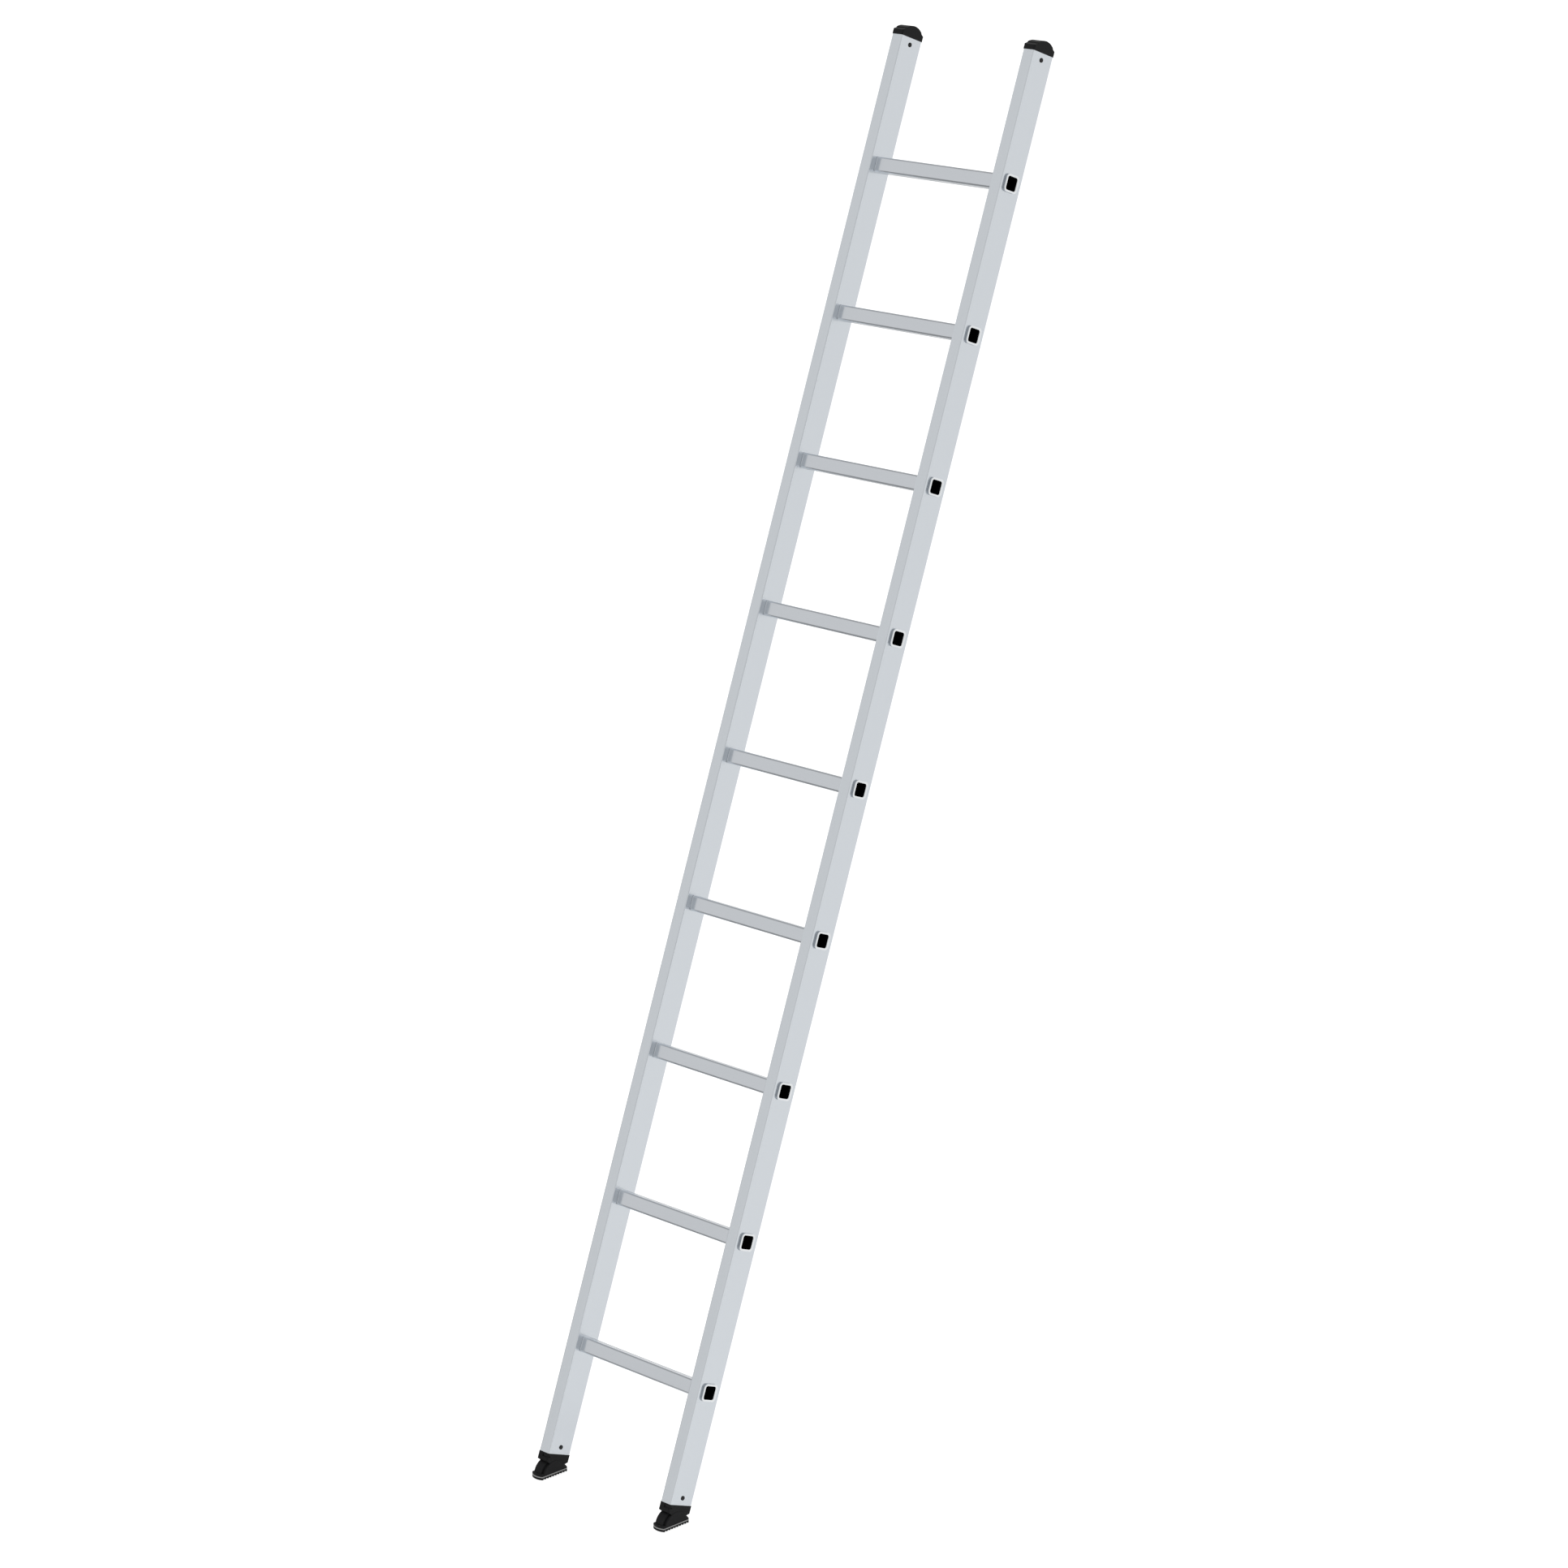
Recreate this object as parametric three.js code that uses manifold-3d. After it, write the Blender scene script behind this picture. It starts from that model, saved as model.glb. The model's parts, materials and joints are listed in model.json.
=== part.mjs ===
// Single-section aluminium leaning ladder: two box stiles, nine flared rungs, plastic top caps and
// two tilting feet. Millimetres. The ladder stands at its working lean with both soles flat on z = 0.
import * as THREE from "three";
import { mergeVertices } from "three/addons/utils/BufferGeometryUtils.js";
import Module from "manifold-3d";

const wasm = await Module();
wasm.setup();

// ---------------------------------------------------------------------------------------------
// Driving dimensions. The ladder's own frame: X across it, Y through its depth with the climber's
// side at -Y, Z up along the stiles, zero at the axis that the shoes tilt about.

const LEAN = THREE.MathUtils.degToRad(20); // of the stiles from upright
const WIDTH = 350; // over the outer faces of the stiles

const STILE = { width: 25, depth: 56, wall: 1.6, corner: 2.5, innerCorner: 1 };

const RUNGS = 9;
const PITCH = 280; // from rung to rung
const FIRST_RUNG = 210; // from the stile's lower end to the lowest rung
const TOP_LENGTH = 240; // from the highest rung to the stile's upper end
const RUNG = { depth: 25.4, height: 28.4, wall: 1.8, corner: 4, forward: 1.4 };
const GROOVES = { count: 5, width: 1.3, depth: 0.7, land: 1.85 }; // on top and under each rung
const RIM = { proud: 4, overDepth: 4.9, overHeight: 2, corner: 7.5 }; // flared end outside the stile
const MOUTH = { edgeDepth: 4.8, edgeHeight: 3.95, corner: 4, sunk: 2.2 }; // opening inside the rim
const BEAD = { proud: 0.9, length: 1.6 }; // swaged ring against the stile's inner face

const CAP = { over: 0.9, band: 9, shoulder: 13.8, step: 1.5, domeHalf: 20.5, rise: 22.4, corner: 3 };
const PLUG = { length: 44, wall: 2.4, corner: 1 }; // hollow spigot inside a stile's end
const RIVET = { head: 4.3, shank: 2.4, length: 9, fromFoot: 13.5, fromTop: 12.6 };
const RIVET_DOME = { height: 1.3, edge: 0.45, bend: 1.05, bendRadius: 3.2, crown: 1.5 };
const MANDREL = { radius: 1.1, sunk: 0.9 }; // what is left of it, down inside the crown

const PIVOT_HEIGHT = 2.6; // of the tilt axis above the floor
const HOLDER = { over: 0.8, web: 6.7, front: 14.6, rear: 13, lip: 3.4, heel: 6.8, wrap: 43.5 };
const LATCH = { length: 12, height: 2.6, depth: 1.2, top: 6 }; // moulded recess, front and rear

const SHOE = { width: 28, setback: 0.2, bulge: 4, flangeFront: 4.8, flangeRear: 3 };
const BARREL = { radius: 31, width: 18, wall: 3.5, cheek: 2.5 }; // middle of the shoe's round back
const SHOULDER_DROP = 4; // from the barrel down to the cheeks each side of it
const TILT = { back: 8, forward: 30 }; // degrees each way from the working lean

const PLATE = { thickness: 1.8 };
const TREAD = { thickness: 4.1, ribs: 10, ribTip: 2.4, ribRoot: 4.2, grooveDepth: 2.4 };

const SCREW = { shank: 3, head: 5, headHeight: 4, headTop: 3.5, socket: 2.5, socketDepth: 2.4 };
const SCREW_END = { beyondNut: 2, chamfer: 0.6 };
const SADDLE = { halfLength: 7.5, thickness: 5 };

const FIT = 0.3; // gap between a piece and the one it sits in or on
const CORNER = 2; // curve divisions of a small corner, each drawn as two segments
const ARC = 6; // segments in half of an end curve
const ROUND = 24; // segments in a large arc
const TURN = 16; // segments round a small turned piece
const PAST = 1; // how far a cut runs past what it cuts

// Sizes that follow from them.
const STILE_LENGTH = FIRST_RUNG + (RUNGS - 1) * PITCH + TOP_LENGTH;
const STILE_X = (WIDTH - STILE.width) / 2;
const SOCKET = BARREL.radius + FIT + HOLDER.web; // from the tilt axis to the stile's lower end
const STILE_TOP = SOCKET + STILE_LENGTH;
const RIM_DEPTH = RUNG.depth + 2 * RIM.overDepth;
const RIM_HEIGHT = RUNG.height + 2 * RIM.overHeight;
const PLUG_WIDTH = STILE.width - 2 * STILE.wall - 2 * FIT;
const PLUG_DEPTH = STILE.depth - 2 * STILE.wall - 2 * FIT;
const PLATE_TOP = TREAD.thickness + PLATE.thickness + FIT - PIVOT_HEIGHT;
const SOLE_TOP = PLATE_TOP + FIT; // underside of the shoe body
const SOLE_HALF = BARREL.radius - SHOE.setback; // half of the sole's straight sides
const SHOULDER = BARREL.radius - SHOULDER_DROP; // radius of the cheeks
const HOLLOW = BARREL.width / 2 - BARREL.cheek; // half the width inside the barrel
const SIDES = { left: -1, right: 1 };

const aluminium = new THREE.MeshStandardMaterial({ color: 0xc9cdd2, metalness: 0.9, roughness: 0.3 });
const rungAluminium = new THREE.MeshStandardMaterial({ color: 0xc3c7cc, metalness: 0.9, roughness: 0.33 });
const blackNylon = new THREE.MeshStandardMaterial({ color: 0x242424, metalness: 0, roughness: 0.55 });
const greyPlate = new THREE.MeshStandardMaterial({ color: 0x9a9a9a, metalness: 0, roughness: 0.6 });
const blackRubber = new THREE.MeshStandardMaterial({ color: 0x121212, metalness: 0, roughness: 0.85 });
const blackRivet = new THREE.MeshStandardMaterial({ color: 0x15181a, metalness: 0.3, roughness: 0.5 });
const zincSteel = new THREE.MeshStandardMaterial({ color: 0x9ea2a6, metalness: 0.9, roughness: 0.35 });

// ---------------------------------------------------------------------------------------------
// Shapes, solids and meshes.

// How a drawn outline (u, v) and its extrusion w turn into X, Y and Z.
const ALONG_X = new THREE.Matrix4().set(0, 0, 1, 0, 1, 0, 0, 0, 0, 1, 0, 0, 0, 0, 0, 1); // u=Y v=Z w=X
const ALONG_Z = new THREE.Matrix4(); // u=X v=Y w=Z

// A closed manifold-3d solid from a three.js geometry.
function solid(geometry) {
  const bare = new THREE.BufferGeometry();
  const source = geometry.index ? geometry.toNonIndexed() : geometry;
  bare.setAttribute("position", source.getAttribute("position"));
  const merged = mergeVertices(bare, 1e-4);
  return new wasm.Manifold(
    new wasm.Mesh({
      numProp: 3,
      vertProperties: merged.attributes.position.array,
      triVerts: new Uint32Array(merged.index.array),
    }),
  );
}

// A prism of an outline, from one station to the other along the given axis.
function prism(outline, from, to, along = ALONG_X) {
  const geometry = new THREE.ExtrudeGeometry(outline, {
    depth: to - from,
    bevelEnabled: false,
    curveSegments: CORNER,
  });
  geometry.translate(0, 0, from);
  geometry.applyMatrix4(along);
  return solid(geometry);
}

// A rectangle with round corners, centred on (u, v).
function roundedRect(width, height, radius, u = 0, v = 0) {
  const shape = new THREE.Shape();
  const a = width / 2;
  const b = height / 2;
  const r = Math.min(radius, a - 0.05, b - 0.05);
  shape.moveTo(u - a + r, v - b);
  shape.lineTo(u + a - r, v - b);
  shape.absarc(u + a - r, v - b + r, r, -Math.PI / 2, 0);
  shape.lineTo(u + a, v + b - r);
  shape.absarc(u + a - r, v + b - r, r, 0, Math.PI / 2);
  shape.lineTo(u - a + r, v + b);
  shape.absarc(u - a + r, v + b - r, r, Math.PI / 2, Math.PI);
  shape.lineTo(u - a, v - b + r);
  shape.absarc(u - a + r, v - b + r, r, Math.PI, 1.5 * Math.PI);
  return shape;
}

// A cylinder along X.
function rod(radius, from, to, y = 0, z = 0, segments = 2 * ROUND) {
  const geometry = new THREE.CylinderGeometry(radius, radius, to - from, segments);
  geometry.rotateZ(Math.PI / 2);
  geometry.translate((from + to) / 2, y, z);
  return solid(geometry);
}

// A box between two corners.
function box(low, high) {
  const geometry = new THREE.BoxGeometry(high[0] - low[0], high[1] - low[1], high[2] - low[2]);
  geometry.translate((low[0] + high[0]) / 2, (low[1] + high[1]) / 2, (low[2] + high[2]) / 2);
  return solid(geometry);
}

// A turned piece: the profile is a list of (radius, height) from axis to axis, round Z.
function turned(profile, segments = TURN) {
  const points = profile.map(([r, h]) => new THREE.Vector2(r, h));
  const geometry = new THREE.LatheGeometry(points, segments);
  geometry.rotateX(Math.PI / 2);
  return geometry;
}

function mesh(name, body, material) {
  const data = body.getMesh();
  const geometry = new THREE.BufferGeometry();
  geometry.setAttribute("position", new THREE.BufferAttribute(data.vertProperties, data.numProp));
  geometry.setIndex(new THREE.BufferAttribute(data.triVerts, 1));
  geometry.computeVertexNormals();
  const made = new THREE.Mesh(geometry, material);
  made.name = name;
  return made;
}

// ---------------------------------------------------------------------------------------------
// Stiles and rungs.

function rungHeight(index) {
  return SOCKET + FIRST_RUNG + index * PITCH;
}

// Where the rivets go at the foot and at the top of a stile. The top ones line up with the rungs.
const RIVETS = {
  foot: { y: 0, z: SOCKET + RIVET.fromFoot },
  top: { y: -RUNG.forward, z: STILE_TOP - RIVET.fromTop },
};

function stile() {
  const outline = roundedRect(STILE.width, STILE.depth, STILE.corner);
  const hollowWidth = STILE.width - 2 * STILE.wall;
  const hollowDepth = STILE.depth - 2 * STILE.wall;
  outline.holes.push(roundedRect(hollowWidth, hollowDepth, STILE.innerCorner));
  let body = prism(outline, SOCKET, STILE_TOP, ALONG_Z);
  for (let i = 0; i < RUNGS; i++) {
    const hole = roundedRect(
      RUNG.depth + 2 * FIT,
      RUNG.height + 2 * FIT,
      RUNG.corner + FIT,
      -RUNG.forward,
      rungHeight(i),
    );
    body = body.subtract(prism(hole, -STILE.width, STILE.width));
  }
  for (const { y, z } of Object.values(RIVETS)) {
    body = body.subtract(rod(RIVET.shank + FIT, -STILE.width, STILE.width, y, z, TURN));
  }
  return body;
}

// Section of a rung with its anti-slip grooves, drawn round (-forward, z).
function rungSection(z) {
  const shape = new THREE.Shape();
  const a = RUNG.depth / 2;
  const b = RUNG.height / 2;
  const r = RUNG.corner;
  const span = RUNG.depth - 2 * (r + GROOVES.land) - GROOVES.width;
  const pitch = span / (GROOVES.count - 1);
  const y0 = -RUNG.forward;
  const grooves = (direction) => {
    for (let i = 0; i < GROOVES.count; i++) {
      const centre = direction * (i * pitch - span / 2);
      const from = y0 + centre - (direction * GROOVES.width) / 2;
      const to = y0 + centre + (direction * GROOVES.width) / 2;
      const face = z - direction * b;
      const floor = face + direction * GROOVES.depth;
      shape.lineTo(from, face);
      shape.lineTo(from, floor);
      shape.lineTo(to, floor);
      shape.lineTo(to, face);
    }
  };
  shape.moveTo(y0 - a + r, z - b);
  grooves(1);
  shape.lineTo(y0 + a - r, z - b);
  shape.absarc(y0 + a - r, z - b + r, r, -Math.PI / 2, 0);
  shape.lineTo(y0 + a, z + b - r);
  shape.absarc(y0 + a - r, z + b - r, r, 0, Math.PI / 2);
  grooves(-1);
  shape.lineTo(y0 - a + r, z + b);
  shape.absarc(y0 - a + r, z + b - r, r, Math.PI / 2, Math.PI);
  shape.lineTo(y0 - a, z - b + r);
  shape.absarc(y0 - a + r, z - b + r, r, Math.PI, 1.5 * Math.PI);
  return shape;
}

// A tube through both stiles: open flared rims outside them and swaged beads inside them.
function rung(index) {
  const z = rungHeight(index);
  const end = WIDTH / 2 + RIM.proud;
  const inner = WIDTH / 2 - STILE.width;
  const y = -RUNG.forward;
  const mouth = roundedRect(
    RIM_DEPTH - 2 * MOUTH.edgeDepth,
    RIM_HEIGHT - 2 * MOUTH.edgeHeight,
    MOUTH.corner,
    y,
    z,
  );
  let body = prism(rungSection(z), -end + FIT, end - FIT);
  for (const side of [-1, 1]) {
    const rim = roundedRect(RIM_DEPTH, RIM_HEIGHT, RIM.corner, y, z);
    const rimSpan = [side * (WIDTH / 2 + FIT), side * end].sort((p, q) => p - q);
    body = body.add(prism(rim, ...rimSpan));
    const bead = roundedRect(
      RUNG.depth + 2 * BEAD.proud,
      RUNG.height + 2 * BEAD.proud,
      RUNG.corner + BEAD.proud,
      y,
      z,
    );
    const beadSpan = [side * (inner - FIT), side * (inner - FIT - BEAD.length)].sort((p, q) => p - q);
    body = body.add(prism(bead, ...beadSpan));
    const mouthSpan = [side * (end - MOUTH.sunk), side * (end + PAST)].sort((p, q) => p - q);
    body = body.subtract(prism(mouth, ...mouthSpan));
  }
  const bore = roundedRect(
    RUNG.depth - 2 * RUNG.wall,
    RUNG.height - 2 * RUNG.wall - GROOVES.depth,
    RUNG.corner - RUNG.wall,
    y,
    z,
  );
  return body.subtract(prism(bore, -end - PAST, end + PAST));
}

// ---------------------------------------------------------------------------------------------
// Plugs, caps and rivets.

// The hollow spigot of a cap or foot holder, open at one end and drilled for the rivets.
function plug(from, to, hollowFrom, hollowTo, { y, z }) {
  const outline = roundedRect(PLUG_WIDTH, PLUG_DEPTH, PLUG.corner);
  const hollow = roundedRect(PLUG_WIDTH - 2 * PLUG.wall, PLUG_DEPTH - 2 * PLUG.wall, PLUG.corner);
  return prism(outline, from, to, ALONG_Z)
    .subtract(prism(hollow, hollowFrom, hollowTo, ALONG_Z))
    .subtract(rod(RIVET.shank + FIT, -STILE.width, STILE.width, y, z, TURN));
}

// Side outline of a cap's head: rim band, sloping shoulder, small step and a shallow round dome.
function capOutline(half, base) {
  const sagitta = CAP.rise - CAP.shoulder - CAP.step;
  const radius = (CAP.domeHalf ** 2 + sagitta ** 2) / (2 * sagitta);
  const sweep = Math.asin(CAP.domeHalf / radius);
  const side = new THREE.Shape();
  side.moveTo(-half, base);
  side.lineTo(half, base);
  side.lineTo(half, base + CAP.band);
  side.lineTo(CAP.domeHalf, base + CAP.shoulder);
  for (let i = 0; i <= ROUND; i++) {
    const angle = sweep - (2 * sweep * i) / ROUND;
    side.lineTo(radius * Math.sin(angle), base + CAP.rise - radius + radius * Math.cos(angle));
  }
  side.lineTo(-CAP.domeHalf, base + CAP.shoulder);
  side.lineTo(-half, base + CAP.band);
  return side;
}

function topCap() {
  const half = STILE.depth / 2 + CAP.over;
  const width = STILE.width + 2 * CAP.over;
  const base = STILE_TOP + FIT;
  const plan = roundedRect(width, 2 * half, CAP.corner);
  const head = prism(capOutline(half, base), -width / 2, width / 2).intersect(
    prism(plan, base, base + CAP.rise + PAST, ALONG_Z),
  );
  const lower = STILE_TOP - PLUG.length;
  return head.add(plug(lower, base + PAST, lower - PAST, base, RIVETS.top));
}

// A blind rivet along +X with the underside of its head at x = 0.
function rivet() {
  const profile = [
    [0, -RIVET.length],
    [RIVET.shank, -RIVET.length],
    [RIVET.shank, 0],
    [RIVET.head, 0],
    [RIVET.head, RIVET_DOME.edge],
    [RIVET_DOME.bendRadius, RIVET_DOME.bend],
    [RIVET_DOME.crown, RIVET_DOME.height],
    [MANDREL.radius, RIVET_DOME.height],
    [MANDREL.radius, RIVET_DOME.height - MANDREL.sunk],
    [0, RIVET_DOME.height - MANDREL.sunk],
  ];
  return solid(turned(profile).rotateY(Math.PI / 2));
}

// ---------------------------------------------------------------------------------------------
// Feet. A holder sits in the stile's lower end, and the shoe's round back turns in its seat. A
// screw and a curved saddle nut inside the shoe hold the two together.

// Side outline of the holder's collar: lips front and rear, and the round cut over the shoulders.
function collarOutline() {
  const half = STILE.depth / 2 + HOLDER.over;
  const cut = SHOULDER + FIT;
  const wrap = THREE.MathUtils.degToRad(HOLDER.wrap);
  const rear = SOCKET - HOLDER.rear;
  const side = new THREE.Shape();
  side.moveTo(-half, SOCKET - FIT);
  side.lineTo(-half, SOCKET - HOLDER.front);
  for (let i = 0; i <= ROUND; i++) {
    const angle = wrap * ((2 * i) / ROUND - 1);
    side.lineTo(cut * Math.sin(angle), cut * Math.cos(angle));
  }
  side.lineTo(half - HOLDER.heel, rear - HOLDER.lip);
  side.lineTo(half, rear);
  side.lineTo(half, SOCKET - FIT);
  return side;
}

function footHolder() {
  const depth = STILE.depth + 2 * HOLDER.over;
  const width = STILE.width + 2 * HOLDER.over;
  const seat = BARREL.radius + FIT;
  const plan = roundedRect(width, depth, STILE.corner + HOLDER.over);
  const latchTop = SOCKET - LATCH.top;
  const collar = prism(collarOutline(), -width / 2, width / 2)
    .intersect(prism(plan, 0, SOCKET, ALONG_Z))
    .subtract(rod(seat, -BARREL.width / 2 - FIT, BARREL.width / 2 + FIT))
    .subtract(latch(-depth / 2, latchTop))
    .subtract(latch(depth / 2, latchTop));
  const upper = SOCKET + PLUG.length;
  const spigot = plug(SOCKET - PAST, upper, SOCKET, upper + PAST, RIVETS.foot);
  const hole = upright(SCREW.shank + FIT, 0, upper);
  return collar.add(spigot).subtract(hole);
}

// The recess that a mould's latch leaves in the collar's front or rear face.
function latch(face, top) {
  return box(
    [-LATCH.length / 2, face - LATCH.depth, top - LATCH.height],
    [LATCH.length / 2, face + LATCH.depth, top],
  );
}

// A cylinder along Z on the stile's axis.
function upright(radius, from, to) {
  const profile = [
    [0, from],
    [radius, from],
    [radius, to],
    [0, to],
  ];
  return solid(turned(profile));
}

// Button-head screw, head in the spigot's hollow and shank down through the shoe's slot.
function footScrew() {
  const seat = SOCKET + FIT;
  const top = seat + SCREW.headHeight;
  const tip = BARREL.radius - BARREL.wall - SADDLE.thickness - SCREW_END.beyondNut;
  const profile = [
    [0, tip],
    [SCREW.shank - SCREW_END.chamfer, tip],
    [SCREW.shank, tip + SCREW_END.chamfer],
    [SCREW.shank, seat],
    [SCREW.head, seat],
    [SCREW.head, (seat + top) / 2],
    [SCREW.headTop, top],
    [SCREW.socket, top],
    [SCREW.socket, top - SCREW.socketDepth],
    [0, top - SCREW.socketDepth],
  ];
  return solid(turned(profile));
}

// Curved nut that slides against the inside of the shoe's barrel.
function saddleNut() {
  const outer = BARREL.radius - BARREL.wall - FIT;
  const half = HOLLOW - FIT;
  const block = box([-half, -SADDLE.halfLength, 0], [half, SADDLE.halfLength, outer]);
  return rod(outer, -half, half)
    .subtract(rod(outer - SADDLE.thickness, -half - PAST, half + PAST))
    .intersect(block)
    .subtract(upright(SCREW.shank + FIT, 0, outer + PAST));
}

// Plan of the sole: straight sides with the front and rear ends bulging outwards.
function solePlan() {
  const half = SHOE.width / 2;
  const radius = (half ** 2 + SHOE.bulge ** 2) / (2 * SHOE.bulge);
  const sweep = Math.asin(half / radius);
  const plan = new THREE.Shape();
  const end = (direction) => {
    for (let i = 0; i <= 2 * ARC; i++) {
      const angle = direction * (sweep - (sweep * i) / ARC);
      const reach = SOLE_HALF + SHOE.bulge - radius + radius * Math.cos(angle);
      plan.lineTo(radius * Math.sin(angle), direction * reach);
    }
  };
  plan.moveTo(half, -SOLE_HALF);
  plan.lineTo(half, SOLE_HALF);
  end(1);
  end(-1);
  return plan;
}

// The low flange that the sole is fixed to, higher at the toe than at the heel.
function flange() {
  const reach = SOLE_HALF + SHOE.bulge + PAST;
  const side = new THREE.Shape();
  side.moveTo(-reach, SOLE_TOP);
  side.lineTo(reach, SOLE_TOP);
  side.lineTo(reach, SOLE_TOP + SHOE.flangeRear);
  side.lineTo(0, SOLE_TOP + SHOE.flangeRear);
  side.lineTo(0, SOLE_TOP + SHOE.flangeFront);
  side.lineTo(-reach, SOLE_TOP + SHOE.flangeFront);
  return prism(side, -SHOE.width, SHOE.width).intersect(prism(solePlan(), 0, SOCKET, ALONG_Z));
}

function shoeBody() {
  const half = SHOE.width / 2;
  const inside = BARREL.radius - BARREL.wall;
  const upper = box([-SHOE.width, -SOCKET, SOLE_TOP], [SHOE.width, SOCKET, SOCKET]);
  const slotReach = Math.asin((SCREW.shank + 2 * FIT) / inside);
  const lean = THREE.MathUtils.radToDeg(LEAN);
  const slotFrom = THREE.MathUtils.degToRad(lean - TILT.forward) - slotReach;
  const slotTo = THREE.MathUtils.degToRad(lean + TILT.back) + slotReach;
  return rod(SHOULDER, -half, half)
    .add(rod(BARREL.radius, -BARREL.width / 2, BARREL.width / 2))
    .intersect(upper)
    .add(flange())
    .subtract(rod(inside, -HOLLOW, HOLLOW))
    .subtract(sector(slotFrom, slotTo, SCREW.shank + FIT));
}

// A wedge through the barrel's wall between two angles from upright, for the screw to run in.
function sector(from, to, half) {
  const outline = new THREE.Shape();
  const inner = BARREL.radius - 2 * BARREL.wall;
  const outer = BARREL.radius + 2 * PAST;
  outline.moveTo(inner * Math.sin(from), inner * Math.cos(from));
  for (let i = 0; i <= ARC; i++) {
    const angle = from + ((to - from) * i) / ARC;
    outline.lineTo(outer * Math.sin(angle), outer * Math.cos(angle));
  }
  for (let i = 0; i <= ARC; i++) {
    const angle = to + ((from - to) * i) / ARC;
    outline.lineTo(inner * Math.sin(angle), inner * Math.cos(angle));
  }
  return prism(outline, -half, half);
}

function solePlate() {
  return prism(solePlan(), PLATE_TOP - PLATE.thickness, PLATE_TOP, ALONG_Z);
}

// Rubber tread with ribs across it, its underside on the floor.
function tread() {
  const under = -PIVOT_HEIGHT;
  const pitch = (2 * SOLE_HALF - TREAD.ribTip) / (TREAD.ribs - 1);
  let body = prism(solePlan(), under, under + TREAD.thickness, ALONG_Z);
  for (let i = 0; i < TREAD.ribs - 1; i++) {
    const middle = -SOLE_HALF + TREAD.ribTip / 2 + (i + 0.5) * pitch;
    const mouth = (pitch - TREAD.ribTip) / 2;
    const root = (pitch - TREAD.ribRoot) / 2;
    const groove = new THREE.Shape();
    groove.moveTo(middle - mouth, under);
    groove.lineTo(middle - mouth, under - PAST);
    groove.lineTo(middle + mouth, under - PAST);
    groove.lineTo(middle + mouth, under);
    groove.lineTo(middle + root, under + TREAD.grooveDepth);
    groove.lineTo(middle - root, under + TREAD.grooveDepth);
    body = body.subtract(prism(groove, -SHOE.width, SHOE.width));
  }
  return body;
}

// ---------------------------------------------------------------------------------------------
// Assembly.

const ladder = new THREE.Group();
ladder.rotation.x = -LEAN;
const shoes = new THREE.Group();

// One side's pieces: the stile with its cap, holder and rivets lean, and the shoe stands level.
function addSide(side) {
  const x = SIDES[side] * STILE_X;
  const leaning = new THREE.Group();
  leaning.position.x = x;
  leaning.add(mesh(`stile_${side}`, stile(), aluminium));
  leaning.add(mesh(`top_cap_${side}`, topCap(), blackNylon));
  leaning.add(mesh(`foot_holder_${side}`, footHolder(), blackNylon));
  leaning.add(mesh(`foot_screw_${side}`, footScrew(), zincSteel));
  leaning.add(mesh(`saddle_nut_${side}`, saddleNut(), zincSteel));
  for (const [end, { y, z }] of Object.entries(RIVETS)) {
    for (const face of ["inner", "outer"]) {
      const turn = (face === "outer") === (side === "right") ? 1 : -1;
      const made = mesh(`rivet_${end}_${side}_${face}`, rivet(), blackRivet);
      made.position.set(turn * (STILE.width / 2 + FIT), y, z);
      made.rotation.y = turn > 0 ? 0 : Math.PI;
      leaning.add(made);
    }
  }
  ladder.add(leaning);
  const level = new THREE.Group();
  level.position.x = x;
  level.add(mesh(`shoe_body_${side}`, shoeBody(), blackNylon));
  level.add(mesh(`sole_plate_${side}`, solePlate(), greyPlate));
  level.add(mesh(`tread_${side}`, tread(), blackRubber));
  shoes.add(level);
}

addSide("left");
addSide("right");
for (let i = 0; i < RUNGS; i++) {
  ladder.add(mesh(`rung_${i + 1}`, rung(i), rungAluminium));
}

// The part's origin is on the floor, under the middle of the ladder's box.
const assembly = new THREE.Group();
assembly.add(ladder, shoes);
assembly.position.z = PIVOT_HEIGHT;
const part = new THREE.Group();
part.add(assembly);
part.updateMatrixWorld(true);
assembly.position.y = -new THREE.Box3().setFromObject(part, true).getCenter(new THREE.Vector3()).y;

export default part;
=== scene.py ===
import json
import math

import bmesh
import bpy
from bpy.props import FloatProperty, FloatVectorProperty, IntProperty, PointerProperty
from mathutils import Matrix, Vector


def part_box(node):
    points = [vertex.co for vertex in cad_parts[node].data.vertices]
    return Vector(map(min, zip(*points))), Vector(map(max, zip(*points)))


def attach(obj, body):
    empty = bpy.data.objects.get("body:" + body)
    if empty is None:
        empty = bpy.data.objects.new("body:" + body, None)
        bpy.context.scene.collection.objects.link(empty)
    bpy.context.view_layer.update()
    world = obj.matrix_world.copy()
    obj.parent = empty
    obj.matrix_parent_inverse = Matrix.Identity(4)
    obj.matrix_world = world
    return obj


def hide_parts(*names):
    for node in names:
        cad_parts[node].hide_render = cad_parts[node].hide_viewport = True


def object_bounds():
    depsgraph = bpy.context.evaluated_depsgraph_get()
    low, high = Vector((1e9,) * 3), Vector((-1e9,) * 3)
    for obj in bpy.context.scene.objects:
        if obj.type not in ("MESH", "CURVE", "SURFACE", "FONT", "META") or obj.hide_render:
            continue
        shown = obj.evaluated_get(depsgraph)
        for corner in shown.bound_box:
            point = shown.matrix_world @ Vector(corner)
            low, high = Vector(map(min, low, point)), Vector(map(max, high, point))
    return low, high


bl_info = {
    "name": "Leaning ladder",
    "version": (1, 0, 0),
    "blender": (4, 5, 0),
    "location": "3D Viewport > Sidebar > Ladder",
    "description": "Builds the finished pieces of an aluminium leaning ladder round its packed frame",
    "category": "Object",
}

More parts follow.
